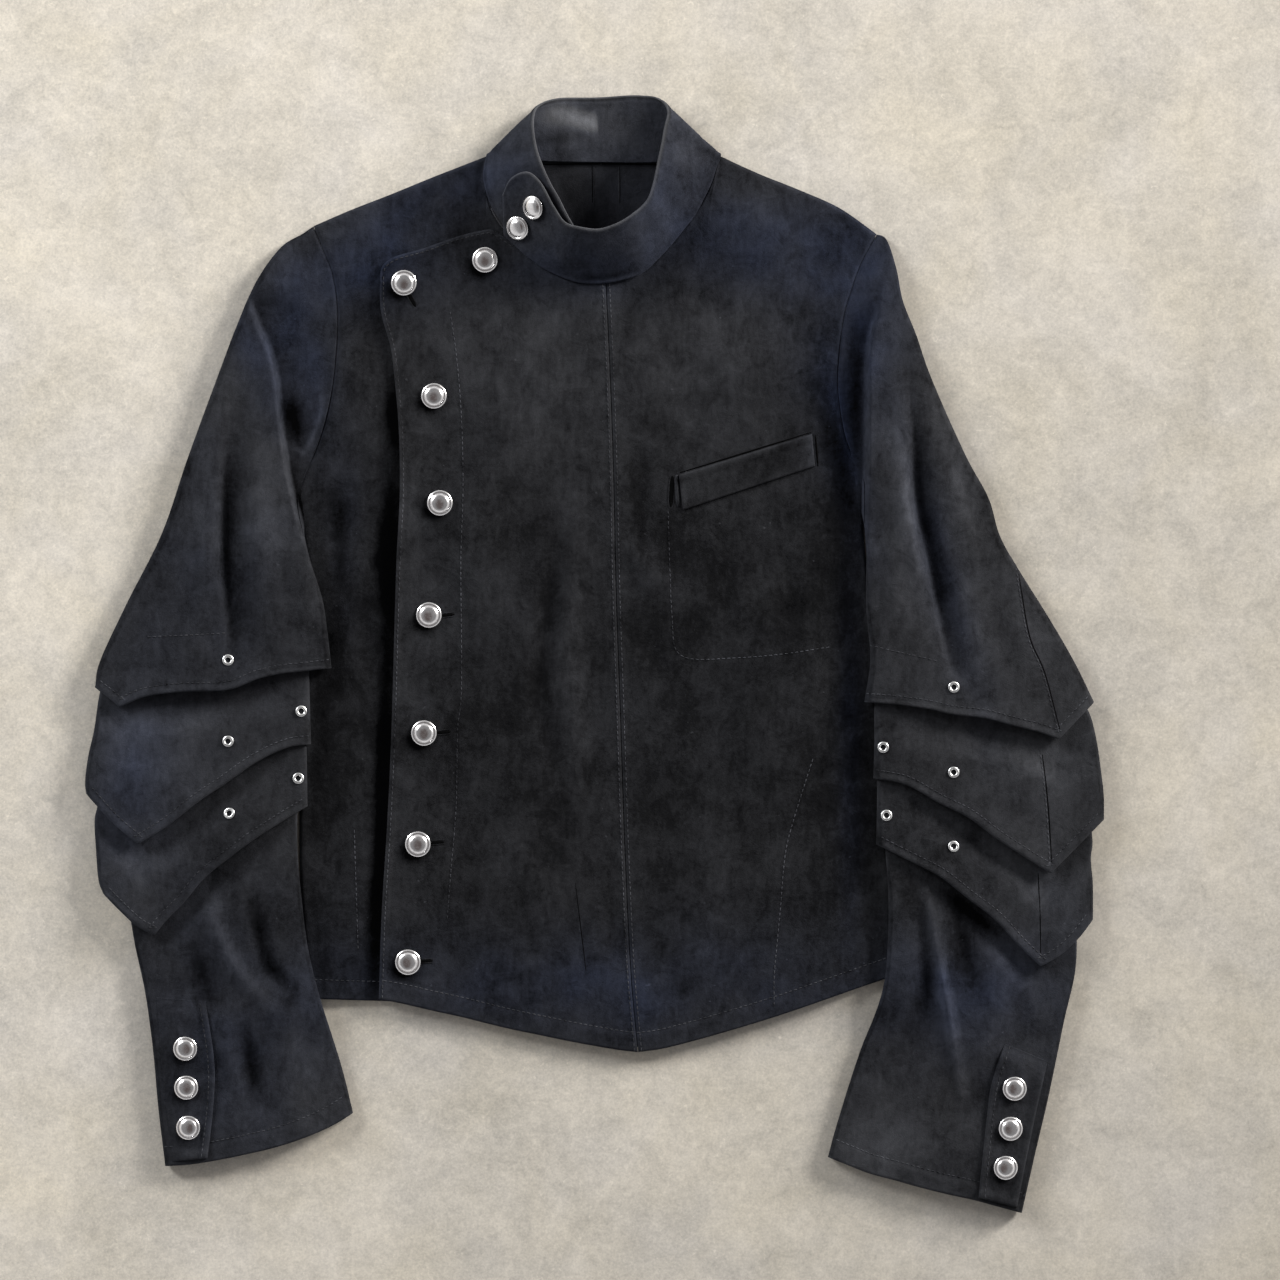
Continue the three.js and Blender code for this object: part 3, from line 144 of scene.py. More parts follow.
# Sum of soft ridges and troughs. Each follows its path with tapered ends: height x taper x a bell of the
# distance, as wide as "left" to the path's left and "right" to its right.
def creaseHeight(creases, x, y):
    total = np.zeros(x.shape)
    for path, height, left, right in creases:
        line = np.asarray(path, float)
        if len(path) > 2:
            line = along(curveThrough(path), np.linspace(0, 1, 2 * len(path) + 1))
        distance, share, side = toLine(x, y, line)
        width = mix(right, left, 0.5 + 0.5 * side)
        total += height * (0.25 + 0.75 * np.sin(np.pi * share)) * bell(distance, width)
    return total


# Slow uneven rise and fall: waves of many directions and lengths, always the same for one seed.
def swell(x, y, length, seed, waves=10):
    rng = np.random.default_rng(seed)
    total = np.zeros(x.shape)
    for angle, factor, phase in rng.uniform((0, 0.6, 0), (2 * np.pi, 1.7, 2 * np.pi), (waves, 3)):
        total += np.sin(2 * np.pi * (x * math.cos(angle) + y * math.sin(angle)) / (length * factor) + phase)
    return total / math.sqrt(waves)


# Shares from 0 to 1 for grid lines over a length, close together beside both ends.
def gridShares(length, pitch):
    fine = np.array(cloth["edgeSteps"])
    first = fine[-1] + pitch
    count = max(2, round((length - 2 * first) / pitch) + 1)
    return np.concatenate([fine, np.linspace(first, length - first, count), length - fine[::-1]]) / length


# Corner numbers of each face of a grid; wrap joins the last column to the first.
def gridFaces(rows, columns, wrap=False):
    r = np.arange(rows - 1)[:, None]
    c = np.arange(columns if wrap else columns - 1)[None, :]
    d = (c + 1) % columns
    return np.stack(np.broadcast_arrays(r * columns + c, (r + 1) * columns + c, (r + 1) * columns + d,
                                        r * columns + d), -1).reshape(-1, 4)


# Closed shell of two grids of one size: the skin, the lining turned over, and rims round the open edges.
def shellOf(outer, inner, wrap=False):
    rows, columns = outer.shape[:2]
    count = rows * columns
    skin = gridFaces(rows, columns, wrap)
    firstRow, lastRow = np.arange(columns), (rows - 1) * columns + np.arange(columns)
    if wrap:
        loops = [firstRow, lastRow[::-1]]
    else:
        firstColumn, lastColumn = np.arange(rows) * columns, np.arange(rows) * columns + columns - 1
        loops = [np.concatenate([firstRow[:-1], lastColumn[:-1], lastRow[:0:-1], firstColumn[:0:-1]])]
    faces = [skin, skin[:, ::-1] + count]
    for loop in loops:
        after = np.roll(loop, -1)
        faces.append(np.stack([loop, after, after + count, loop + count], -1))
    return np.concatenate([outer.reshape(-1, 3), inner.reshape(-1, 3)]), np.concatenate(faces)


# Puts points (mm, pattern) and faces into a mesh object; faces are turned outwards by their signed volume.
def makePiece(name, points, faces, material, values=None):
    place = (points - patternCentre) * 0.001
    a, b, c = (place[faces[:, k]] for k in range(3))
    d = place[faces[:, -1]]
    volume = np.einsum("ij,ij->", a, np.cross(b, c)) + np.einsum("ij,ij->", a, np.cross(c, d))
    if volume < 0:
        faces = faces[:, ::-1]
    mesh = bpy.data.meshes.new(name)
    mesh.from_pydata(place.tolist(), [], faces.tolist())
    mesh.polygons.foreach_set("use_smooth", np.ones(len(mesh.polygons), bool))
    for key, value in (values or {}).items():
        layer = mesh.attributes.new(key, "FLOAT", "POINT")
        layer.data.foreach_set("value", np.asarray(value, np.float32).ravel())
    mesh.materials.append(material)
    mesh.update()
    obj = bpy.data.objects.new(name, mesh)
    bpy.context.scene.collection.objects.link(obj)
    return obj


# Area of a grid's faces, in square metres.
def gridArea(grid):
    a, b, c, d = grid[:-1, :-1], grid[1:, :-1], grid[1:, 1:], grid[:-1, 1:]
    return 0.5e-6 * float(np.linalg.norm(np.cross(c - a, d - b), axis=-1).sum())


# The longest of the grid's lines along one axis, in metres.
def longest(grid, axis):
    return 0.001 * float(np.linalg.norm(np.diff(grid, axis=axis), axis=-1).sum(axis=axis).max())


grounds = {}


def keepGround(name, grid):
    faces = gridFaces(*grid.shape[:2])
    grounds[name] = BVHTree.FromPolygons(grid.reshape(-1, 3).tolist(), faces.tolist())


# Height and normal of a piece's top at (x, y), or None beside it.
def seat(name, x, y):
    point, normal, _, _ = grounds[name].ray_cast(Vector((x, y, 200)), Vector((0, 0, -1)))
    if point is None:
        return None
    return np.array(point), np.array(normal if normal.z > 0 else -normal)


def declareCloth(obj, node, width, length, area):
    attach(obj, "root")
    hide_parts(node)
    width, length = (max(width, length, 1.02 * area / min(width, length)) if k else min(width, length)
                     for k in range(2))


# Shader groups and materials

def newGroup(name, inputs, outputs):
    tree = bpy.data.node_groups.new(name, "ShaderNodeTree")
    for label, kind, value in inputs:
        tree.interface.new_socket(label, in_out="INPUT", socket_type=kind).default_value = value
    for label, kind in outputs:
        tree.interface.new_socket(label, in_out="OUTPUT", socket_type=kind)
    return tree, tree.nodes.new("NodeGroupInput"), tree.nodes.new("NodeGroupOutput")


def addNode(tree, kind, values=None, **settings):
    node = tree.nodes.new(kind)
    for key, value in settings.items():
        setattr(node, key, value)
    for key, value in (values or {}).items():
        if isinstance(value, bpy.types.NodeSocket):
            tree.links.new(value, node.inputs[key])
        else:
            node.inputs[key].default_value = value
    return node


def maths(tree, operation, a, b, clamp=False):
    return addNode(tree, "ShaderNodeMath", {0: a, 1: b}, operation=operation, use_clamp=clamp).outputs[0]


def colorMix(tree, share, a, b, blend="MIX"):
    node = addNode(tree, "ShaderNodeMix", {0: share, 6: a, 7: b}, data_type="RGBA", blend_type=blend)
    return node.outputs[2]


def noise(tree, vector, scale, detail, roughness, distortion):
    node = addNode(tree, "ShaderNodeTexNoise", {"Vector": vector, "Scale": scale, "Detail": detail,
                                                "Roughness": roughness, "Distortion": distortion})
    return node.outputs["Fac"]


def spread(tree, value, low, high):
    node = addNode(tree, "ShaderNodeMapRange", {"Value": value, "From Min": low, "From Max": high})
    return node.outputs["Result"]


# A noise spread so that its low value becomes 0 and its high value 1.
def spreadNoise(tree, place, scale, detail, roughness, distortion, low, high):
    return spread(tree, noise(tree, place, scale, detail, roughness, distortion), low, high)


# The base plus each layer's distance from its middle, times its share.
def layered(tree, base, layers):
    total = base
    for layer, share, middle in layers:
        part = maths(tree, "MULTIPLY", maths(tree, "SUBTRACT", layer, middle), share)
        total = maths(tree, "ADD", total, part)
    return total


groupOutputs = [("Color", "NodeSocketColor"), ("Roughness", "NodeSocketFloat"),
                ("Height", "NodeSocketFloat")]
suedeLook = {
    "dark": (0.0068, 0.0068, 0.0073, 1),
    "light": (0.165, 0.168, 0.182, 1),
    # painted shade: where the tone falls below zero, deep in folds and gaps, the nap goes on to this
    # near-black
    "black": (0.0008, 0.0008, 0.001, 1),  # deep in a fold
    "cool": (0.72, 0.93, 1.62, 1),
    "sheen": 0.02,
    "specular": 0.03,
    "bump": 0.7,
    "bumpDepth": 0.0007,
}


# Noises of the nap: scale, detail, roughness, distortion, low, high.
napNoises = {
    "broad": (17, 2.0, 0.5, 0.6, 0.3, 0.7),
    "blots": (62, 4.0, 0.62, 0.8, 0.28, 0.72),
    "mottle": (330, 3.0, 0.65, 0.0, 0.25, 0.75),
    "dust": (260, 1.0, 0.5, 0.0, 0.77, 0.83),
    "drift": (14, 3.0, 0.55, 0.0, 0.3, 0.7),
}
strokeNoise = (210, 4.0, 0.6, 0.3, 0.25, 0.75)
fleckNoise = (1000, 3.0, 0.7, 0.0)
spotNoise = (420, 5.0, 0.65, 0.0, 0.4, 0.72)  # tarnish on metal


# Suede nap. Tone = base + the tone-and-shade attribute (nap tone with painted light and painted shade) +
# patches, strokes, mottle and flecks. It mixes the dark nap with the light one, and below zero it goes on to
# black as painted shade; coolness tints it. Height is flecks and blots.
def suedeNapGroup():
    tree, given, put = newGroup("suedeNap", [
        ("Tone", "NodeSocketFloat", 0.1), ("Brushed", "NodeSocketFloat", 0.0),
        ("Patchiness", "NodeSocketFloat", 0.05), ("Coolness", "NodeSocketFloat", 0.3),
        ("Dark", "NodeSocketColor", (0.01, 0.01, 0.011, 1)),
        ("Light", "NodeSocketColor", (0.1, 0.1, 0.11, 1)),
        ("Cool", "NodeSocketColor", (0.86, 0.96, 1.2, 1)),
    ], groupOutputs)
    tone, toneAndShadeIn, coolness = (given.outputs[key] for key in ("Tone", "Brushed", "Coolness"))
    place = addNode(tree, "ShaderNodeTexCoord").outputs["Object"]
    broad, blots, mottle, dust, drift = (spreadNoise(tree, place, *row) for row in napNoises.values())
    stretched = addNode(tree, "ShaderNodeMapping", {"Vector": place, "Scale": (1.0, 0.32, 1.0)}).outputs[0]
    strokes = spreadNoise(tree, stretched, *strokeNoise)
    flecks = noise(tree, place, *fleckNoise)
    patches = layered(tree, 0.0, ((broad, 1.0, 0.5), (blots, 0.95, 0.5), (strokes, 0.8, 0.5),
                                  (mottle, 0.8, 0.5), (flecks, 1.6, 0.5)))
    varied = maths(tree, "MULTIPLY", patches, given.outputs["Patchiness"])
    uneven = layered(tree, 0.45, ((blots, 0.6, 0.0), (strokes, 0.5, 0.0)))
    # The lighter part (nap tone and painted highlights) is made uneven by blots and strokes; the darker part
    # (painted shade) passes as it is.
    lightenedUnevenly = maths(tree, "MULTIPLY", maths(tree, "MAXIMUM", toneAndShadeIn, 0.0), uneven)
    brushed = maths(tree, "ADD", lightenedUnevenly, maths(tree, "MINIMUM", toneAndShadeIn, 0.0))
    brushed = layered(tree, brushed, ((dust, 0.12, 0.0),))
    total = maths(tree, "ADD", maths(tree, "ADD", tone, brushed), varied)
    shade = colorMix(tree, maths(tree, "MAXIMUM", total, 0.0), given.outputs["Dark"], given.outputs["Light"])
    coolShare = maths(tree, "MULTIPLY", coolness, maths(tree, "ADD", 0.5, drift), clamp=True)
    tinted = colorMix(tree, coolShare, shade, given.outputs["Cool"], "MULTIPLY")
    # painted shade: below zero the colour darkens on to near-black
    shadedToBlack = colorMix(tree, spread(tree, total, -0.07, -0.01), suedeLook["black"], tinted)
    tree.links.new(shadedToBlack, put.inputs["Color"])
    rough = addNode(tree, "ShaderNodeMapRange", {"Value": blots, "To Min": 0.98, "To Max": 0.86})
    tree.links.new(rough.outputs["Result"], put.inputs["Roughness"])
    height = maths(tree, "ADD", maths(tree, "MULTIPLY", flecks, 0.5), maths(tree, "MULTIPLY", blots, 0.5))
    tree.links.new(height, put.inputs["Height"])
    return tree


# Handled metal: dull spots that change the colour and roughness a little.
def metalWearGroup():
    tree, given, put = newGroup("metalWear", [
        ("Color", "NodeSocketColor", (0.8, 0.8, 0.82, 1)),
        ("Tarnish", "NodeSocketColor", (0.4, 0.38, 0.37, 1)),
        ("Amount", "NodeSocketFloat", 0.3), ("Roughness", "NodeSocketFloat", 0.2),
    ], groupOutputs)
    place = addNode(tree, "ShaderNodeTexCoord").outputs["Object"]
    spots = spreadNoise(tree, place, *spotNoise)
    share = maths(tree, "MULTIPLY", spots, given.outputs["Amount"], clamp=True)
    shade = colorMix(tree, share, given.outputs["Color"], given.outputs["Tarnish"])
    tree.links.new(shade, put.inputs["Color"])
    rough = maths(tree, "ADD", given.outputs["Roughness"], maths(tree, "MULTIPLY", spots, 0.18))
    tree.links.new(rough, put.inputs["Roughness"])
    tree.links.new(spots, put.inputs["Height"])
    return tree


def newMaterial(name):
    material = bpy.data.materials.new(name)
    material.use_nodes = True
    shader = material.node_tree.nodes["Principled BSDF"]
    return material, material.node_tree, shader


# Suede of one piece or group: the nap group, the piece's own attributes and a bump.
def suedeMaterial(name, tone=0.1, patchiness=0.05, coolness=0.2, dark=suedeLook["dark"]):
    material, tree, shader = newMaterial(name)
    brushed, worn, cool = (addNode(tree, "ShaderNodeAttribute", attribute_name=key).outputs["Fac"]
                           for key in ("brushed", "worn", "cool"))
    nap = addNode(tree, "ShaderNodeGroup", node_tree=suedeNap)
    tree.links.new(maths(tree, "ADD", worn, tone), nap.inputs["Tone"])
    tree.links.new(brushed, nap.inputs["Brushed"])
    for key, value in (("Patchiness", patchiness), ("Dark", dark), ("Light", suedeLook["light"]),
                       ("Cool", suedeLook["cool"])):
        nap.inputs[key].default_value = value
    tree.links.new(maths(tree, "ADD", cool, coolness), nap.inputs["Coolness"])
    tree.links.new(nap.outputs["Color"], shader.inputs["Base Color"])
    tree.links.new(nap.outputs["Roughness"], shader.inputs["Roughness"])
    bump = addNode(tree, "ShaderNodeBump", {
        "Strength": suedeLook["bump"], "Distance": suedeLook["bumpDepth"], "Height": nap.outputs["Height"]})
    tree.links.new(bump.outputs["Normal"], shader.inputs["Normal"])
    shader.inputs["Specular IOR Level"].default_value = suedeLook["specular"]
    shader.inputs["Sheen Weight"].default_value = suedeLook["sheen"]
    shader.inputs["Sheen Roughness"].default_value = 0.5
    shader.inputs["Sheen Tint"].default_value = (0.62, 0.68, 0.8, 1)
    return material


def metalMaterial(name, color, tarnish, amount, roughness):
    material, tree, shader = newMaterial(name)
    wear = addNode(tree, "ShaderNodeGroup", node_tree=metalWear)
    for key, value in (("Color", color), ("Tarnish", tarnish), ("Amount", amount), ("Roughness", roughness)):
        wear.inputs[key].default_value = value
    tree.links.new(wear.outputs["Color"], shader.inputs["Base Color"])
    tree.links.new(wear.outputs["Roughness"], shader.inputs["Roughness"])
    bump = addNode(tree, "ShaderNodeBump", {"Strength": 0.1, "Distance": 0.0001,
                                            "Height": wear.outputs["Height"]})
    tree.links.new(bump.outputs["Normal"], shader.inputs["Normal"])
    shader.inputs["Metallic"].default_value = 1.0
    return material


suedeNap = suedeNapGroup()
metalWear = metalWearGroup()
bodySuede = suedeMaterial("bodySuede", tone=0.036, patchiness=0.068, coolness=0.03)
sleeveSuede = suedeMaterial("sleeveSuede", tone=0.08, patchiness=0.075, coolness=0.04)
collarSuede = suedeMaterial("collarSuede", tone=0.118, patchiness=0.09, coolness=0.15)
backSuede = suedeMaterial("backSuede", tone=0.065, coolness=0.03)
threadSuede = suedeMaterial("thread", tone=0.2, patchiness=0.25, coolness=0.05)
seamSuede = suedeMaterial("seamSuede", tone=0.09, patchiness=0.1, coolness=0.05)
# Near-black painted shade for the inside of slits, eyelet holes and grooves.
openingShadeSuede = suedeMaterial("buttonhole", tone=0.0, patchiness=0.0, coolness=0.0,
                          dark=(0.0015, 0.0015, 0.0015, 1))
silver = metalMaterial("silver", (0.97, 0.95, 0.94, 1), (0.55, 0.49, 0.47, 1), 0.4, 0.17)
eyeletSteel = metalMaterial("eyeletSteel", (0.85, 0.85, 0.84, 1), (0.5, 0.49, 0.48, 1), 0.4, 0.3)
print("materials made")


# Painted highlight on ridges and painted shade in troughs, partly also nap rubbed lighter on ridges: tone
# for each millimetre of fold height.
foldShading = {"perMillimetre": 0.014, "least": -0.05, "most": 0.04}


def foldShadeAndWear(height):
    return np.clip(height * foldShading["perMillimetre"], foldShading["least"], foldShading["most"])


# Where the nap looks blue rather than charcoal: middle x and y, half widths, turn in degrees, amount.
coolPatches = [
    (-222, 228, 24, 70, 14, 0.6), (-262, 240, 16, 60, 22, 0.3), (-172, 290, 45, 32, 20, 0.7),
    (-110, 345, 55, 25, 20, 0.6), (110, 315, 90, 34, -22, 0.5), (190, 250, 34, 80, 0, 0.8),
    (0, 290, 90, 24, 0, 0.35), (-187, 80, 12, 50, 0, 0.25), (189, 150, 12, 60, 12, 0.9),
    (-290, 60, 60, 90, 0, 0.2), (262, 60, 14, 90, 15, 0.4), (20, -250, 230, 40, 0, 0.45),
    (192, -60, 10, 150, 0, 0.4), (-350, -110, 40, 80, 0, 0.3), (300, -260, 70, 60, 0, 0.3),
    (-270, -290, 70, 90, 0, 0.3),
]


# Where the suede is painted lighter or darker than the rest, in the same columns: partly nap tone, partly
# painted light on the upper body and painted shade beside the sleeves.
toneAndShadePatches = [
    (-20, 235, 170, 80, 0, 0.05), (-128, 70, 24, 150, 0, 0.035), (-125, -180, 24, 80, 0, 0.02),
    (150, 325, 70, 34, -24, 0.05), (-178, 322, 44, 22, 26, 0.06), (40, 135, 80, 36, 0, 0.025),
    (30, -255, 190, 34, 0, 0.045), (172, -80, 32, 110, 0, -0.035), (120, -28, 42, 70, 0, -0.035),
    (-60, 30, 50, 110, 0, -0.012), (-192, -30, 22, 110, 0, -0.03), (162, 20, 26, 60, 0, -0.02),
    (-255, 135, 50, 60, 0, 0.04), (-330, -60, 60, 60, 0, 0.035), (-350, -130, 40, 70, 0, 0.03),
    (245, 90, 40, 100, 0, 0.06), (300, 0, 60, 60, 0, 0.04), (340, -90, 40, 50, 0, 0.03),
    (330, -190, 40, 40, 0, 0.02), (262, -200, 40, 50, 0, -0.035), (240, -370, 60, 40, 0, 0.04),
    (-240, -330, 60, 60, 0, 0.04), (-290, -230, 40, 40, 0, -0.01), (120, 330, 70, 25, -25, 0.02),
]


# The attributes of a shell whose two grids share one plan.
def napValues(x, y, brushed, worn):
    values = {"brushed": brushed + patchesAt(toneAndShadePatches, x, y), "worn": worn,
              "cool": patchesAt(coolPatches, x, y)}
    return {key: np.tile(value.ravel(), 2) for key, value in values.items()}


# Height that an edge's finish adds at distance d from it, and where the layer there is thinner.
def edgeFinish(kind, d):
    if kind == "seam":  # sinks into the seam beside a low welt
        return -0.85 * (1 - smooth(d / 2.2)) + 0.25 * bell(d - 4.5, 2.2)
    if kind == "flatSeam":  # pressed open, with a low ridge each side of the line
        return -0.5 * (1 - smooth(d / 1.1)) + 0.2 * bell(d - 2.6, 1.8)
    if kind == "turned":  # folded under and stitched: a thicker rim, a dip at the stitches
        return -0.6 * (1 - smooth(d / 1.3)) + 0.55 * (1 - smooth((d - 4.5) / 3)) - 0.35 * bell(d - 6.5, 1.6)
    if kind == "hem":  # the same with a wide allowance
        return -0.6 * (1 - smooth(d / 1.3)) + 0.45 * (1 - smooth((d - 12) / 5)) - 0.3 * bell(d - 14.5, 2)
    return -0.4 * (1 - smooth(d / 1.0))


# Distances from each grid point to the grid's four edges, along its own lines.
def edgeDistances(grid):
    across = np.linalg.norm(np.diff(grid, axis=1), axis=-1)
    down = np.linalg.norm(np.diff(grid, axis=0), axis=-1)
    left = np.concatenate([np.zeros((len(grid), 1)), np.cumsum(across, axis=1)], axis=1)
    top = np.concatenate([np.zeros((1, grid.shape[1])), np.cumsum(down, axis=0)])
    return {"left": left, "right": left[:, -1:] - left, "top": top, "bottom": top[-1:] - top}


# Soft patches summed, each a bell over its own half widths and turn. The tables hold nap tone with painted
# light and shade, and coolness.
def patchesAt(patches, x, y):
    total = np.zeros(x.shape)
    for px, py, wide, high, turn, amount in patches:
        c, s = math.cos(math.radians(turn)), math.sin(math.radians(turn))
        p, q = (x - px) * c + (y - py) * s, (y - py) * c - (x - px) * s
        total += amount * np.exp(-(p / wide) ** 2 - (q / high) ** 2)
    return total


edges = {
    "armholeRight": [
        (-210.75, 320.25), (-203.25, 302.25), (-196.5, 285), (-192.75, 260), (-193.5, 227.25),
        (-196.5, 199.5), (-201.75, 174.75), (-209.5, 151), (-218, 134), (-223.5, 119),
    ],
    "sideRight": [
        (-223.5, 119), (-220, 94.5), (-216.75, 69.75), (-219, -35.25), (-221.25, -155.25),
        (-216.75, -222.75), (-211.5, -259.5),
    ],
    "armholeLeft": [
        (212.25, 314.25), (201, 293.25), (194.25, 275.25), (188.25, 255.75), (184.5, 228), (183, 199.5),
        (186, 174.75), (190.5, 157), (197.5, 142), (203.5, 126),
    ],
    "sideLeft": [
        (203.5, 126), (202.5, 106), (203, 84.75), (208, 39.75), (217.5, -35.25), (223.5, -155.25),
        (225, -207.75), (225, -242.25),
    ],
    "centreSeam": [
        (9, 277.5), (12, 213), (14.25, 150.75), (17.25, 27), (19.5, -35.25), (23.25, -147), (27.75, -240),
        (33, -299.25),
    ],
}
armholeRight, sideRight, armholeLeft, sideLeft, centreSeam = (curveThrough(rows) for rows in edges.values())
bodyRight = np.concatenate([armholeRight, sideRight[1:]])
bodyLeft = np.concatenate([armholeLeft, sideLeft[1:]])

# Folds of the fronts (path, height, width to its left, width to its right). Both layers follow them.
frontCreases = [
    (((-25, 97), (-35, 23), (-41, -39), (-27, -88)), -3.0, 9, 8),
    (((-15, 117), (-19, 23), (-15, -59), (-13, -141)), 2.8, 10, 12),
    (((-80, 150), (-84, -60)), 2.2, 22, 22),
    (((18, 90), (38, 66), (60, 42)), 2.6, 9, 12),
    (((32, 165), (35, 90)), -2.2, 9, 11),
    (((33, 22), (48, -10), (62, -32)), -2.0, 10, 12),
    (((96, 70), (95, 22)), -1.4, 8, 8),
    (((129, 66), (126, 8)), 1.5, 10, 10),
    (((112, 60), (113, 20)), 1.0, 7, 7),
    (((146, 70), (150, 20)), -1.0, 9, 9),
    (((120, 30), (128, -120)), 1.8, 24, 24),
    (((70, 240), (140, 200)), 3.0, 26, 26),
    (((165, 225), (172, 160)), -1.8, 12, 14),
    (((-60, -130), (-20, -240)), 1.8, 20, 20),
    (((12, -170), (14, -235)), -1.2, 6, 7),
    (((-48, -150), (-26, -168)), -1.2, 8, 8),
    (((-88, -95), (-100, -130)), 1.2, 6, 8),
    (((90, -140), (84, -250)), 2.0, 20, 20),
    (((178, 30), (150, -70)), 2.0, 14, 26),
    (((-190, 128), (-189, 75)), -2.4, 9, 9),
    (((-171, 45), (-168, -15)), -1.8, 8, 9),
    (((-182, 90), (-186, -60)), 1.4, 12, 12),
    (((-200, -120), (-196, -190)), -1.6, 12, 12),
    (((-120, 235), (-128, 190)), -0.9, 12, 10),
    (((-60, 215), (-20, 190), (0, 195)), 1.1, 16, 14),
]


def panelPlan(outline, pitch):
    width = max(longest(outline[0][None], 1), longest(outline[1][None], 1)) * 1000
    length = max(longest(outline[2][None], 1), longest(outline[3][None], 1)) * 1000
    v, u = np.meshgrid(gridShares(length, pitch), gridShares(width, pitch), indexing="ij")
    return u, v, patch(outline, u, v)


# A panel of one layer. Its top = underside + wall + edge finishes + swell + puckers beside its edges.
def makePanel(name, spec, material, underside, finishes, look, extra=None, folded=True):
    u, v, plan = panelPlan(spec, look.get("pitch", cloth["pitch"]))
    x, y = plan[..., 0], plan[..., 1]
    away = edgeDistances(plan)
    rim = np.minimum.reduce([away[side] for side in finishes])
    rise = cloth["swell"] * swell(x, y, cloth["swellLength"], 3) * smooth(rim / 25)
    for side, kind in finishes.items():
        rise = rise + edgeFinish(kind, away[side])
        ripple = swell(x, y, 11, 5 + len(side))
        rise = rise + cloth["pucker"] * ripple * bell(away[side] - 5, 6) * smooth(away[side] / 3)
    under = underside(u, v, x, y)
    if extra is not None:
        under = under + extra(x, y, away)
    top = under + cloth["wall"] + rise
    thickness = cloth["wall"] * mix(0.3, 1, smooth(rim / 1.1))
    upper = np.dstack([x, y, top])
    lower = np.dstack([x, y, np.maximum(top - thickness, 0.0 if name == "back" else 0.2)])
    points, faces = shellOf(upper, lower)
    # Lighter rim along the finished edges.
    worn = 0.035 * bell(rim - 0.5, 1.6) + 0.012 * bell(rim - 3, 5)
    # Tone: the piece's patches, its painted shades and highlights, and painted fold shading.
    tone = patchesAt(look["brushed"], x, y) + creaseHeight(look.get("shades", ()), x, y)
    if folded:
        tone = tone + foldShadeAndWear(frontFoldsAt(x, y))
    obj = makePiece(name + "_cloth", points, faces, material, napValues(x, y, tone, worn))
    keepGround(name, upper)
    declareCloth(obj, name, longest(upper, 1), longest(upper, 0), gridArea(upper))
    print("panel", name, len(faces) * 2, "triangles")
    return obj


back = {
    "top": [
        (-210.75, 320.25), (-152.25, 343.5), (-123, 355.5), (-78.75, 372.5), (-55.5, 370.5),
        (8.25, 369.75), (72, 370.5), (94.5, 372), (143.25, 351), (175.5, 337.5), (212.25, 314.25),
    ],
    "hem": [
        (-211.5, -258), (-161.25, -259), (-111, -268), (-62.25, -278.5), (-18.75, -287.5), (34.5, -294.5),
        (74.25, -287.5), (105.75, -278.5), (130.5, -271), (177, -255.5), (225, -241),
    ],
    "brushed": [(-20, 345, 60, 25, 0, 0.03)],
    "pitch": 5.0,
}
underFront = {
    "top": [
        (-210.75, 320.25), (-183, 332.25), (-152.25, 344.25), (-123, 356.25), (-78.75, 373.5),
        (-81, 347.25), (-75.75, 330.75), (-65.25, 315.75), (-51.75, 304.5), (-36.75, 296.25),
    ],
    "neckCorner": 4,
    "hem": [
        (-211.5, -259.5), (-190.5, -260.25), (-172, -260.8), (-155, -261.3), (-138, -262), (-121, -262.8),
        (-105, -263.8), (-88, -265), (-72, -265.6), (-55.5, -266),
    ],
    "hiddenEdge": [
        (-36.75, 296.25), (-40.5, 264.75), (-48, 189.75), (-51.75, 39.75), (-54, -110.25), (-55.5, -266),
    ],
    "brushed": [
        (-128, 318, 50, 12, 22, 0.03), (-188, 320, 20, 16, 25, 0.03), (-185, 215, 12, 45, 0, 0.02),
        (-178, 130, 14, 40, 0, 0.015),
    ],
    "shades": [
        (((-151, 205), (-151, 188), (-150, 170), (-148, 150)), -0.2, 10, 5),
        (((-147, 140), (-152, 112), (-156, 80), (-153, 40), (-155, 0)), -0.24, 12, 6.5),
        (((-154, 10), (-158, -60), (-160, -130), (-164, -200), (-165, -262)), -0.22, 10, 5),
        (((-190, 124), (-192, 90), (-188, 45)), -0.06, 5, 6),
        (((-170, 230), (-166, 170), (-172, 110)), 0.02, 6, 8),
        (((-219, 105), (-208, 40), (-204, -20), (-212, -140)), -0.03, 10, 6),
        (((-196, 262), (-178, 260), (-164, 225)), -0.03, 14, 14),
    ],
}
overlap = {
    "top": [
        (-160.5, 283), (-158.5, 290.5), (-150.75, 296.5), (-129, 303), (-98.25, 313.5), (-78, 318),
        (-66, 311.25), (-39, 289.5), (-25.5, 282.75), (-12, 278.25), (9, 277.5),
    ],
    "hem": [
        (-161.25, -259.5), (-145.5, -262.5), (-123, -267.75), (-99, -273), (-81, -277.5), (-62.25, -282),
        (-40.5, -286.5), (-18.75, -291), (1.5, -294.75), (19.5, -297.75), (33, -299.25),
    ],
    "edge": [
        (-160.5, 283), (-159.75, 256.5), (-152.25, 228), (-149.25, 203.25), (-146.25, 166.5),
        (-145.5, 120), (-147.75, 73.5), (-149.25, 27), (-152.25, -69.75), (-155.25, -132), (-159, -193.5),
        (-161.25, -259.5),
    ],
    # The free edge stands off what it lies on: middle y, half length, height.
    "edgeLifts": [(150, 40, 2.6), (95, 40, 2.2), (40, 45, 3.2), (-70, 60, 1.8), (-225, 70, 2.6)],
    "brushed": [
        (-70, 250, 60, 35, 0, 0.045), (-30, 160, 30, 60, 20, 0.03), (-20, -20, 16, 90, 0, 0.03),
    ],
}
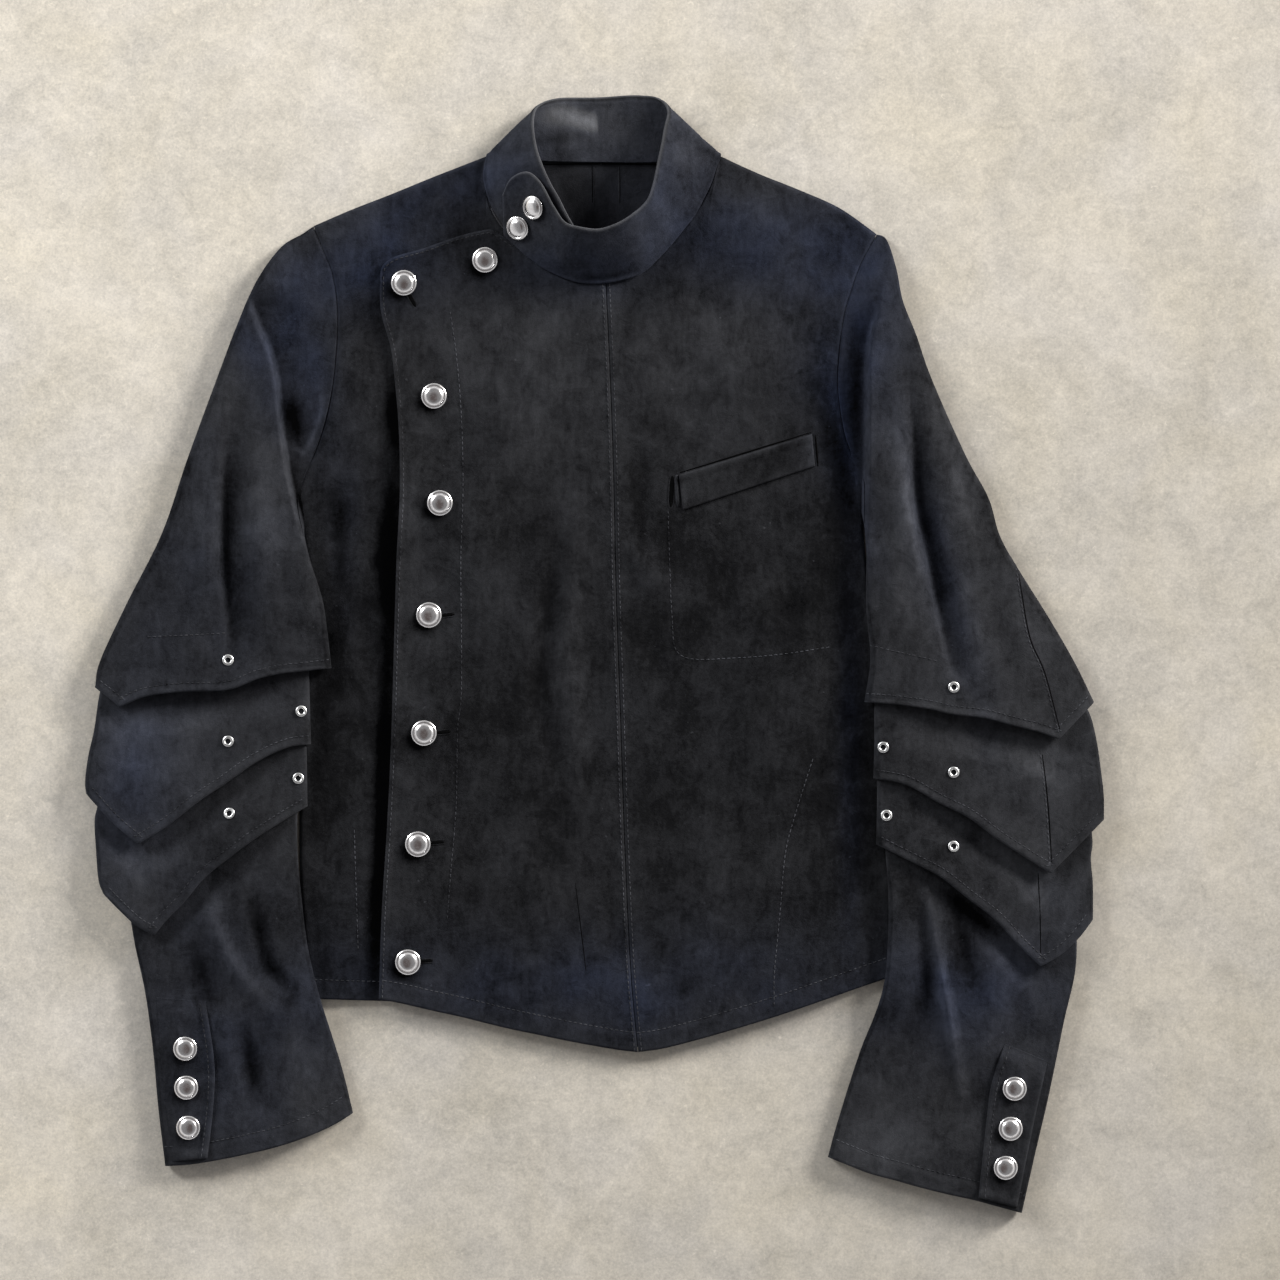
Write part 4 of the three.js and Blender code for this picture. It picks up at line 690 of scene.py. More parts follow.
leftFront = {
    "top": [
        (9, 277.5), (35.25, 285), (55.5, 305.25), (77.25, 332.25), (88.5, 353.25), (94.5, 372.75),
        (124.5, 359.25), (154.5, 347.25), (184.5, 333.75), (212.25, 314.25),
    ],
    "neckCorner": 5,
    "hem": [
        (33, -299.25), (49.5, -297), (74.25, -291), (105.75, -282), (130.5, -274.5), (154.5, -266.6),
        (177, -258.75), (198.75, -251.25), (214.5, -246), (225, -242.25),
    ],
    "brushed": [
        (136, 244, 46, 16, -48, 0.045), (100, 345, 16, 14, 30, 0.03), (60, 225, 40, 34, 0, 0.025),
        (120, 170, 40, 14, 15, 0.015),
    ],
    "shades": [
        (((186, 170), (190, 110), (192, 60), (200, -20), (212, -140)), -0.035, 14, 14),
        (((60, 140), (55, 90), (58, 30)), -0.02, 10, 8),
        (((35, 118), (35, 92), (36, 66)), -0.06, 4, 4),
        (((174, 196), (182, 150), (198, 96)), -0.08, 7, 8),
    ],
}


def frontFoldsAt(x, y):
    return creaseHeight(frontCreases, x, y)


# Folds fade out towards the shoulder and the hem: v is the share of the way down.
def awayFromEnds(v):
    return smooth(v / 0.1) * smooth((1 - v) / 0.04)


def middleOf(node):
    low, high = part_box(node)
    return [(low[k] + high[k]) * 500 + patternCentre[k] for k in range(2)]


# Painted shadow below each button, on the side away from the window.
def paintedShadowBelow(part, amount):
    places = [middleOf(node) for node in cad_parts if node.startswith("button_" + part)]
    return [(x - 5.5, y - 7.5, 8, 5, -35, amount) for x, y in places]


# painted shadow below the front buttons
overlap["brushed"] += paintedShadowBelow("front", -0.2)


makePanel(
    "back",
    (curveThrough(back["top"], (3, 7)), curveThrough(back["hem"]), aside(bodyRight, halfGap),
     aside(bodyLeft, -halfGap)),
    backSuede, lambda u, v, x, y: 0 * x,
    {"left": "seam", "right": "seam", "top": "cut", "bottom": "turned"}, back, folded=False)
makePanel(
    "front_right",
    (curveThrough(underFront["top"], (underFront["neckCorner"],)), curveThrough(underFront["hem"]),
     aside(bodyRight, halfGap), curveThrough(underFront["hiddenEdge"])),
    bodySuede,
    lambda u, v, x, y: underBase + frontFoldsAt(x, y) * smooth(u / 0.3) * awayFromEnds(v),
    {"left": "seam", "right": "cut", "top": "seam", "bottom": "hem"}, underFront,
    extra=lambda x, y, away: mix(0.5, -1.0, smooth((215 - y) / 60)) * bell(
        toLine(x, y, along(curveThrough(overlap["edge"]), np.linspace(0, 1, 20)))[0], 9))
makePanel(
    "front_overlap",
    (curveThrough(overlap["top"], (5,)), curveThrough(overlap["hem"]), curveThrough(overlap["edge"]),
     aside(centreSeam, -halfGap)),
    bodySuede,
    lambda u, v, x, y: underBase + overLift + 0.2 + frontFoldsAt(x, y) * awayFromEnds(v)
    * mix(0.6, 1, smooth(u / 0.2)) + 0.5 * smooth(u / 0.1),
    {"left": "turned", "right": "flatSeam", "top": "turned", "bottom": "hem"}, overlap,
    extra=lambda x, y, away: bell(away["left"], 12) * sum(
        lift * bell(y - place, reach) for place, reach, lift in overlap["edgeLifts"]))
makePanel(
    "front_left",
    (curveThrough(leftFront["top"], (leftFront["neckCorner"],)), curveThrough(leftFront["hem"]),
     aside(centreSeam, halfGap), aside(bodyLeft, -halfGap)),
    bodySuede,
    lambda u, v, x, y: underBase + (overLift + 0.7) * smooth((0.93 - u) / 0.2)
    * (1 - (1 - smooth(v / 0.12)) * smooth((u - 0.45) / 0.15))
    + frontFoldsAt(x, y) * smooth((0.93 - u) / 0.2) * awayFromEnds(v),
    {"left": "flatSeam", "right": "seam", "top": "seam", "bottom": "hem"}, leftFront)

# The collar band as rulings (seam x, y, z, top edge x, y, z) from its buttoned end round to the hidden one.
collar = {
    "thickness": 2.0,
    "pitchAround": 2.0,
    "bulge": 0.9,
    "waves": 0.35,
    "insideTone": 0.015,
    # Patches on the outside: nap tone, with a painted highlight along a crease and painted shade along the
    # seam at the front.
    "brushed": [
        (66, 372, 7, 18, 30, 0.05), (74, 340, 6, 18, 30, -0.05), (58, 335, 8, 14, 35, 0.035),
        (0, 290, 60, 5, 0, -0.03), (27, 300.8, 7, 1.2, 41, 0.07), (-62, 375, 8, 30, 30, 0.02),
        (38, 300, 10, 14, -50, 0.03),
    ],
    # Painted sheen on the lining inside the back, with a darker and a lighter band below it.
    "insideBrushed": [
        (-14, 402, 16, 7, -20, 0.42), (-31, 401, 15, 9, 0, 0.2), (-2, 398, 8, 6, -20, 0.42),
        (-28, 386, 22, 4, 14, -0.04), (-25, 380, 24, 4, 8, 0.06),
    ],
    "rulings": [
        (-67.5, 313.5, 7.9, -68, 343, 14), (-64.5, 310, 7.7, -61.5, 355, 19.5),
        (-57.5, 304, 7.4, -50.25, 359.25, 23.5), (-50, 297.5, 7.3, -40.5, 351.75, 28.5),
        (-39, 289.5, 7.3, -29.25, 332.25, 31), (-25.5, 282.75, 7.3, -21, 321, 32.5),
        (-12, 278.25, 7.3, -10.5, 317.25, 33.5), (5.25, 277.5, 7.4, 3, 315.75, 34),
        (21.75, 280.5, 7.4, 16.5, 319.5, 34), (35.25, 285, 7.4, 28.5, 327, 33),
        (49.5, 297.75, 7.4, 38.25, 335.25, 31.5), (66, 316.5, 7.3, 43.5, 347.25, 30),
        (77.25, 332.25, 7.4, 46.5, 360.75, 27.5), (86.25, 348.75, 7, 49.5, 375.75, 24),
        (91.5, 363.75, 6.2, 52.5, 392.25, 19), (94.5, 373, 5.8, 54.75, 405.75, 13),
        (79.5, 371.5, 3.4, 49.5, 415.5, 7), (45, 368.25, 2.9, 34.5, 418.5, 2.6),
        (4.5, 368.25, 2.9, 0.75, 417, 1.6), (-34.5, 369, 2.9, -28.5, 416.25, 2.6),
        (-66.75, 371.5, 3.4, -39.75, 411.75, 7), (-78.75, 373.7, 5, -43.5, 407.25, 12),
        (-82.5, 360.75, 5, -45, 396, 18), (-81, 347.25, 5, -42.75, 378.75, 22),
        (-74.5, 331.5, 4.8, -37.5, 362.25, 25), (-64.5, 319.5, 4.7, -31.5, 349.5, 26.5),
        (-51, 309, 4.7, -25.5, 338.5, 27.5), (-36.75, 299, 4.7, -17.3, 322.5, 27),
        (-24, 292.5, 4.7, -9.5, 309, 25),
    ],
}


# Between the seam line and the top line, each ruling bulges a little outwards; both faces stand half the
# thickness off along the surface's own normal, and thin out at the rim.
def makeCollar():
    rows = np.asarray(collar["rulings"], float)
    low, high = curveThrough(rows[:, :3]), curveThrough(rows[:, 3:])
    columns = round(longest(low[None], 1) * 1000 / collar["pitchAround"])
    run = np.concatenate([[0], np.cumsum(np.linalg.norm(np.diff(low + high, axis=0), axis=1))])
    places = np.interp(np.linspace(0, run[-1], columns), run, np.arange(len(low)))
    lowAt, highAt = (np.stack([np.interp(places, np.arange(len(line)), line[:, k]) for k in range(3)], -1)
                     for line in (low, high))
    v = gridShares(float(np.linalg.norm(highAt - lowAt, axis=1).mean()), 2.2)[:, None, None]
    middle = mix(lowAt[None], highAt[None], v)
    across, up = np.gradient(middle, axis=1), np.gradient(middle, axis=0)
    normal = np.cross(across, up)
    normal /= np.linalg.norm(normal, axis=-1)[..., None]
    ring = np.arange(columns)[None, :] * collar["pitchAround"]
    share = v[..., 0]
    bulge = collar["bulge"] * np.sin(np.pi * share)
    bulge = bulge + collar["waves"] * swell(ring + 0 * share, 40 * share + 0 * ring, 34, 8)
    middle = middle + normal * bulge[..., None]
    away = edgeDistances(middle)
    rim = np.minimum.reduce([away["top"] + 3, away["bottom"], away["left"], away["right"]])
    stitch = 0.3 * (1 - smooth((rim - 4) / 2.5)) - 0.3 * bell(rim - 6, 1.4)
    half = collar["thickness"] / 2 * mix(0.35, 1, smooth(rim / 1.4))
    outer, inner = (middle + normal * (sign * (half + stitch * (sign > 0)))[..., None] for sign in (1, -1))
    outer[..., 2], inner[..., 2] = np.maximum(outer[..., 2], 0.0), np.maximum(inner[..., 2], 0.25)
    points, faces = shellOf(outer, inner)
    cx, cy = middle[..., 0], middle[..., 1]
    atBack = smooth((cy - 396) / 8)
    # Lighter rims along the top edge and the tab's end; at the back, a light and a dark line just inside the
    # top edge.
    worn = 0.2 * bell(away["bottom"] - 0.3, 0.9) + 0.06 * bell(away["left"], 1.2) * smooth((cx + 57) / 6)
    worn = worn + atBack * (0.12 * bell(away["bottom"] - 3.6, 0.7) - 0.1 * bell(away["bottom"] - 2, 0.8))
    # At the front, a light line just above the seam and painted shadow of the band's roll above that.
    infront = bell(cx - 8, 26) * smooth((300 - cy) / 20)
    worn = worn + infront * (0.07 * bell(away["top"] - 1.6, 0.9) - 0.09 * bell(away["top"] - 6, 3))
    # The inside takes the painted sheen, cut off crisply at its right.
    outside = patchesAt(collar["brushed"], cx, cy)
    inside = patchesAt(collar["insideBrushed"], cx, cy) * smooth((4 - cx) / 2.5) + collar["insideTone"]
    values = napValues(cx, cy, outside, worn)
    values["brushed"] = np.concatenate([outside.ravel(), inside.ravel()])
    # The top rim and the painted sheen stay untinted.
    rimShare, patchShare = bell(away["bottom"], 2), np.clip((inside - 0.1) / 0.3, 0, 1)
    values["cool"] -= 0.3 * np.concatenate([rimShare.ravel(), np.maximum(rimShare, patchShare).ravel()])
    obj = makePiece("collar_band", points, faces, collarSuede, values)
    keepGround("collar", outer)
    declareCloth(obj, "collar", longest(middle, 1), longest(middle, 0), gridArea(middle))
    print("collar", len(faces) * 2, "triangles")
    return obj


makeCollar()

bodySides = {
    "right": {"seam": sideRight, "inwards": 1, "armpit": 99.75, "hem": -262},
    "left": {"seam": sideLeft, "inwards": -1, "armpit": 99.75, "hem": -250},
}
ramp = {"width": 60, "margin": 8, "slack": 0.6, "height": underBase + cloth["wall"] + 0.9, "armpitFade": 30,
        "hemMargin": 36, "hemFade": 34}


# The share of the body's side height that a sleeve has climbed at (x, y).
def climb(side, x, y):
    body = bodySides[side]
    line = body["seam"]
    seamX = np.interp(-y, -line[:, 1], line[:, 0])
    inside = (x - seamX) * body["inwards"]
    across = np.clip((inside + ramp["margin"] + ramp["width"]) / ramp["width"], 0, 1)
    below = smooth((body["armpit"] - y) / ramp["armpitFade"])
    return across * below * smooth((y - body["hem"] + ramp["hemMargin"]) / ramp["hemFade"])


# The y of a line that runs across the jacket, at x.
def heightOfLine(line, x):
    order = np.argsort(line[:, 0])
    return np.interp(x, line[order, 0], line[order, 1])


tube = {"underPitch": 9, "crownPower": 0.8, "seamDip": 0.7, "hemReach": 16, "coverFrom": 10, "coverOver": 24}


# One sleeve tube, flattened. Each ring goes over the top, round the left edge, back underneath and round the
# right edge; the round edges are half circles as thick as the sleeve is there, and the crown swells the top.
def makeSleeve(name, spec):
    outline = (spec["top"], spec["hem"], spec["rightEdge"], spec["leftEdge"])
    width = 1000 * max(longest(spec["hem"][None], 1), longest(spec["top"][None], 1))
    length = 1000 * max(longest(spec["rightEdge"][None], 1), longest(spec["leftEdge"][None], 1))
    arc = np.linspace(0, np.pi / 2, 5, endpoint=False)
    flatTop = np.linspace(0, 1, round(width / cloth["pitch"]))
    flatUnder = np.linspace(1, 0, round(width / tube["underPitch"]))
    quarter = np.pi / 2
    parts = [  # end (0 right, 1 left, 0.5 between), angle round the edge, share across, 1 on top or -1 below
        (0, arc, 0, 1), (0.5, quarter, flatTop, 1), (1, arc[::-1], 1, 1),
        (1, arc[1:], 1, -1), (0.5, quarter, flatUnder, -1), (0, arc[:0:-1], 0, -1),
    ]
    rounds = [np.broadcast_arrays(*part) for part in parts]
    end, angle, flat, side = (np.concatenate([part[k] for part in rounds])[None, :] for k in range(4))
    v = gridShares(length, cloth["pitch"])[:, None]
    across = along(spec["leftEdge"], v[:, 0]) - along(spec["rightEdge"], v[:, 0])
    rowWidth = np.linalg.norm(across, axis=1)[:, None]
    nominal = patch(outline, flat + 0 * v, v + 0 * flat)
    nx, ny = nominal[..., 0], nominal[..., 1]
    if "armhole" in spec:
        near, far = spec["recess"]
        steps = np.linspace(0, 1, 25)
        out = smooth((toLine(nx, ny, along(spec["armhole"], steps))[0] - near) / (far - near))
        # Beside the front fold the sleeve drops to the height of the body.
        distance, _, aheadSide = toLine(nx, ny, along(curveThrough(spec["frontFold"]), steps))
        beyond = -distance * np.sign(aheadSide) * bodySides[spec["side"]]["inwards"]
        out = mix(out, smooth(beyond / 5 + 0.45), smooth((spec["foldTop"] - ny) / 35))
        base, thick, crown = 0 * nx, mix(bodyThickness, spec["edge"], out), spec["crown"] * out
        shown = 1 + 0 * nx
    else:
        shown = smooth((heightOfLine(spec["cover"], nx) - ny - tube["coverFrom"]) / tube["coverOver"])
        base = (cloth["wall"] + cloth["layerGap"] + ramp["slack"]
                * smooth(6 * climb(spec["side"], nx, ny))) * (1 - shown)
        thick = mix(spec["hiddenEdge"], spec["edge"], shown)
        crown = mix(spec["hiddenCrown"], spec["crown"], shown)
    radius = thick / 2
    grids = []
    for inset in (0, cloth["wall"]):
        inner = radius - inset
        fromEdge = inset + inner * (1 - np.cos(angle))
        distance = np.where(end == 0, fromEdge, np.where(end == 1, rowWidth - fromEdge,
                            mix(inset + inner, rowWidth - inset - inner, flat)))
        plan = patch(outline, distance / rowWidth, v + 0 * flat)
        x, y = plan[..., 0], plan[..., 1]
        letIn = smooth(4 * flat * (1 - flat)) * (thick / spec["edge"]) * (end == 0.5) * (side > 0)
        folds = creaseHeight(spec["creases"], x, y) * letIn
        waves = cloth["swell"] * swell(x, y, 55, 11) * letIn * shown
        fromHem = (1 - v) * length + 0 * flat
        hem = edgeFinish(spec["hemFinish"], fromHem) * (end == 0.5)
        lift = spec.get("hemLift", 0) * bell(fromHem, tube["hemReach"])
        hem = hem + lift * np.sin(np.pi * flat) * (side > 0)
        rise = crown * np.sin(np.pi * np.clip(flat, 0, 1)) ** tube["crownPower"] * (side > 0) + folds + waves
        if "armhole" in spec:
            rise = rise - tube["seamDip"] * (1 - smooth(v * length / 2.5)) * (side > 0)
        z = base + radius + side * inner * np.sin(angle) + rise + hem * side
        z = z + ramp["height"] * climb(spec["side"], x, y)
        grids.append(np.dstack([x, y, np.maximum(z, 0.0 if inset == 0 else 0.4)]))
        letInOuter = letIn if inset == 0 else letInOuter
    outer, lining = grids
    points, faces = shellOf(outer, lining, wrap=True)
    x, y = outer[..., 0], outer[..., 1]
    # Lighter rim at the hem; painted shade on the round side edges.
    worn = 0.05 * bell(fromHem, 2.0) - 0.045 * (end != 0.5) * shown
    # Tone: the tube's patches, painted fold shading, and its painted shades and highlights.
    tone = patchesAt(spec["brushed"], x, y) + foldShadeAndWear(creaseHeight(spec["creases"], x, y) * letInOuter)
    tone = tone + creaseHeight(spec.get("shades", ()), x, y)
    obj = makePiece(name + "_cloth", points, faces, sleeveSuede, napValues(x, y, tone, worn))
    keepGround(name, outer[:, :len(flatTop) + 10])
    closed = np.concatenate([outer, outer[:, :1]], axis=1)
    declareCloth(obj, name, longest(closed, 1), longest(closed, 0), gridArea(closed))
    print("sleeve", name, len(faces) * 2, "triangles")


upperSleeves = {
    "upper_sleeve_right": {
        "side": "right", "armhole": armholeRight, "recess": (8, 50), "top": aside(armholeRight, -halfGap),
        "rightEdge": curveThrough([
            (-210.75, 320.25), (-218.25, 315), (-233.25, 306), (-252.75, 279.75), (-267.75, 246),
            (-280.5, 212.25), (-305.25, 144.75), (-324, 90), (-351.75, 34.5), (-372, -10.5),
            (-374.25, -25.5),
        ]),
        "leftEdge": curveThrough([
            (-223.5, 119), (-222.7, 108), (-220, 94.5), (-212, 67.5), (-203.25, 39.75), (-199.5, 15),
            (-196.5, -11.25),
        ]),
        "hem": curveThrough([
            (-374.25, -25.5), (-354.75, -40.5), (-336.75, -33), (-310.5, -29.25), (-285, -28.5),
            (-276, -28), (-267, -26), (-251.25, -19.5), (-233.25, -15.5), (-215.25, -13.5),
            (-196.5, -11.25),
        ], (1,)),
        "edge": 10, "crown": 3.5, "hemFinish": "turned", "hemLift": 2.5,
        "creases": [
            (((-270, 205), (-274, 172), (-276, 145), (-277, 115), (-277, 90), (-275, 52), (-272, 27),
              (-272, 0)), -8.5, 14, 3.5),
            (((-287, 150), (-289, 95), (-286, 30)), 3.0, 6, 14),
            (((-258, 262), (-252, 240), (-245, 220), (-240, 195), (-236, 165), (-231, 135)), 0.8, 2.5, 14),
            (((-206, 197), (-204.5, 183), (-211, 163), (-219, 150), (-231, 156)), 2.6, 3, 3.5),
            (((-205, 290), (-208, 240)), -1.0, 10, 12),
            (((-299, 137), (-333, 10)), 2.4, 20, 22),
            (((-255, 130), (-246, 40)), 2.6, 14, 16),
            (((-316, 60), (-318, 5)), -1.6, 12, 12),
            (((-228, 72), (-222, 2)), -2.4, 10, 12),
            (((-212, 50), (-206, 0)), 1.8, 8, 8),
        ],
        "frontFold": [(-262, 275), (-256.8, 259.5), (-251.3, 244.5), (-243.8, 228), (-238, 205.5),
                      (-235.5, 179.3), (-232.5, 156.8), (-228.8, 134.3), (-223.5, 112), (-218.5, 92),
                      (-208.5, 65), (-198, 36), (-194, 10), (-190, -25)],
        "foldTop": 285,
        "brushed": [(-296, 130, 16, 90, -14, 0.02), (-250, 120, 14, 60, 0, 0.015),
                    (-232, 300, 12, 14, 0, 0.02)],
        "shades": [
            (((-252, 262), (-238, 232), (-226, 200), (-221, 170)), -0.035, 16, 8),
            (((-230, 192), (-227, 176), (-220, 160)), -0.2, 7, 6),
            (((-228, 142), (-224, 124), (-217, 104), (-208, 78)), -0.2, 5, 2.5),
            (((-260, 268), (-252, 246), (-243, 224), (-238.5, 200)), 0.05, 1.5, 2.5),
            (((-240, 205), (-236, 180), (-232, 158), (-228, 134), (-222, 108)), 0.03, 1.2, 2.0),
            (((-206, 197), (-204.5, 183), (-211, 163), (-219, 150), (-231, 156)), 0.12, 2, 2.5),
            (((-271, 200), (-273, 140), (-273, 60), (-270, 5)), -0.02, 12, 6),
            (((-283, 190), (-292, 120), (-293, 40)), 0.03, 4, 9),
            (((-246, 150), (-240, 90), (-236, 40)), 0.02, 8, 8),
        ],
    },
    "upper_sleeve_left": {
        "side": "left", "armhole": armholeLeft, "recess": (4, 26), "top": aside(armholeLeft, halfGap)[::-1],
        "rightEdge": curveThrough([
            (203.5, 126), (203.6, 112), (203.3, 92.25), (204, 73.5), (204, 31.5), (207, -4.5),
            (202.5, -36.75),
        ]),
        "leftEdge": curveThrough([
            (212.25, 314.25), (218.25, 312), (226.5, 289.5), (231.75, 264), (241.5, 239.25),
            (251.25, 210.75), (279.75, 146.25), (296.25, 115.5), (304.5, 87.75), (318.75, 62.25),
            (341.25, 26.25), (360.75, -7.5), (375, -36.75),
        ]),
        "hem": curveThrough([
            (202.5, -36.75), (223.5, -38.25), (237, -40), (253.5, -42.5), (263.25, -45), (272.25, -46.5),
            (293.25, -49), (312, -54), (333, -59.25), (348, -64.5), (375, -36.75),
        ], (9,)),
        "edge": 10, "crown": 3.5, "hemFinish": "turned", "hemLift": 2.5,
        "creases": [
            (((236, 220), (240, 160), (241, 125), (244, 100), (250, 74), (257, 42), (263, 15), (269, -12)),
             -8.0, 11, 3.5),
            (((228, 150), (234, 100), (246, 30)), 3.2, 5, 12),
            (((254, 190), (268, 140), (280, 96), (290, 60)), 3.0, 7, 8),
            (((208, 236), (207, 208), (206, 170), (206, 130)), 0.7, 12, 3),
            (((226, 180), (229, 120), (240, 60)), 2.4, 6, 12),
            (((212, 100), (213, 30)), -1.8, 8, 8),
            (((222, 90), (226, 20)), 1.6, 9, 9),
            (((296, 70), (316, -20)), -2.2, 12, 12),
            (((312, 60), (340, -25)), 2.2, 18, 14),
            (((275, 60), (285, -20)), 2.0, 12, 10),
            (((218, 300), (240, 250)), 1.8, 12, 12),
        ],
        "frontFold": [(214, 262), (206.3, 233), (204.8, 190), (204, 145), (203.5, 124), (203, 105),
                      (202, 60), (200, 20), (198, -50)],
        "foldTop": 275,
        "brushed": [(272, 130, 10, 55, 14, 0.05), (226, 200, 10, 80, 0, 0.03), (300, 60, 20, 60, 25, 0.02),
                    (232, 90, 9, 40, 5, 0.03)],
        "shades": [
            (((199, 240), (197, 205), (197, 170), (199.5, 138)), -0.12, 4, 7),
            (((243, 120), (247, 92), (254, 62), (261, 28), (268, -8)), -0.05, 8, 2.5),
            (((209, 240), (207, 190), (206.5, 140)), 0.02, 6, 1.5),
            (((258, 182), (271, 130), (283, 88)), 0.035, 4, 5),
            (((226, 200), (229, 150), (236, 80)), 0.03, 7, 7),
        ],
    },
}
for sleeve, spec in upperSleeves.items():
    makeSleeve(sleeve, spec)

tiers = {
    "tier_2_right": {
        "side": "right", "cover": upperSleeves["upper_sleeve_right"]["hem"],
        "top": curveThrough([(-365.25, -12.75), (-213.75, 3.75)]),
        "rightEdge": curveThrough([
            (-365.25, -12.75), (-369, -23.25), (-371.5, -33.75), (-375, -57.75), (-379.5, -78),
            (-381.75, -97.5), (-381, -105),
        ]),
        "leftEdge": curveThrough([(-213.75, 3.75), (-212, -68.25)]),
        "hem": curveThrough([
            (-381, -105), (-360.75, -126.75), (-341.25, -143.25), (-319.5, -129.75), (-295.5, -111),
            (-275.25, -97.5), (-251.25, -81), (-228, -70.5), (-212, -68.25),
        ], (2,)),
        "creases": [(((-350, -75), (-310, -100)), 1.2, 16, 16)],
        "brushed": [(-340, -70, 35, 35, 0, 0.07)], "shades": [(((-215.5, -22), (-214, -66)), 0.07, 3, 3)],
    },
    "tier_2_left": {
        "side": "left", "cover": upperSleeves["upper_sleeve_left"]["hem"],
        "top": curveThrough([(211.5, -17.25), (354, -14.25)]),
        "rightEdge": curveThrough([(211.5, -17.25), (210, -40.5), (210, -65.25), (209.25, -93.75)]),
        "leftEdge": curveThrough([
            (354, -14.25), (363, -27.75), (369, -39.75), (372.75, -48), (377.25, -66.75), (380.25, -87.75),
            (382.5, -108), (382.5, -124.5),
        ]),
        "hem": curveThrough([
            (209.25, -93.75), (232.5, -98.25), (258.75, -112.5), (279.75, -123), (300, -138),
            (324, -153.75), (342, -165), (360.75, -146.25), (382.5, -124.5),
        ], (6,)),
        "creases": [(((290, -85), (330, -110)), 1.2, 16, 16)],
        "brushed": [(345, -95, 30, 40, 0, 0.05)], "shades": [(((212.5, -44), (212, -92)), 0.07, 3, 3)],
    },
}
tiers["tier_3_right"] = {
    "side": "right", "cover": tiers["tier_2_right"]["hem"],
    "top": curveThrough([(-371.25, -89.25), (-215.5, -51.75)]),
    "rightEdge": curveThrough([
        (-371.25, -89.25), (-372, -105), (-372.5, -114.75), (-374.5, -123.75), (-373.5, -149.25),
        (-371.25, -172.5), (-368.25, -180),
    ]),
    "leftEdge": curveThrough([(-215.5, -51.75), (-214.5, -114.75)]),
    "hem": curveThrough([
        (-368.25, -180), (-354.75, -193.5), (-342, -204.75), (-329.25, -211.5), (-319.5, -199.5),
        (-307.5, -187.5), (-292.5, -169.5), (-275.25, -155.25), (-257.25, -141.75), (-235.5, -127.5),
        (-214.5, -114.75),
    ], (3,)),
    "creases": [(((-345, -150), (-318, -175)), 1.0, 14, 14)],
    "brushed": [(-350, -160, 25, 30, 0, 0.05)], "shades": [(((-217.5, -78), (-217, -113)), 0.07, 3, 3)],
}
tiers["tier_3_left"] = {
    "side": "left", "cover": tiers["tier_2_left"]["hem"],
    "top": curveThrough([(213, -75.75), (372, -99)]),
    "rightEdge": curveThrough([(213, -75.75), (212.25, -93.75), (212, -110.25), (211.5, -143.25)]),
    "leftEdge": curveThrough([
        (372, -99), (372.75, -121.5), (373.5, -134.25), (374, -144), (372.75, -153.75),
        (374.25, -173.25), (374.25, -199.5),
    ]),
    "hem": curveThrough([
        (211.5, -143.25), (226.5, -150.75), (244.5, -159.75), (258.75, -167.25), (279.75, -183.75),
        (300, -199.5), (318, -219), (334.5, -234.75), (348, -227.25), (363, -213.75), (374.25, -199.5),
    ], (7,)),
    "creases": [(((300, -160), (330, -190)), 1.0, 14, 14)],
    "brushed": [(350, -180, 20, 30, 0, 0.04)], "shades": [(((214.5, -100), (214, -141)), 0.07, 3, 3)],
}
secondTier = {"hiddenEdge": 5.4, "hiddenCrown": 0.8, "edge": 9.5, "crown": 2.5}
thirdTier = {"hiddenEdge": 4.8, "hiddenCrown": 0.2, "edge": 9, "crown": 2}
for tier, spec in tiers.items():
    spec.update(secondTier if "_2_" in tier else thirdTier, hemFinish="turned", hemLift=2.2)
    makeSleeve(tier, spec)

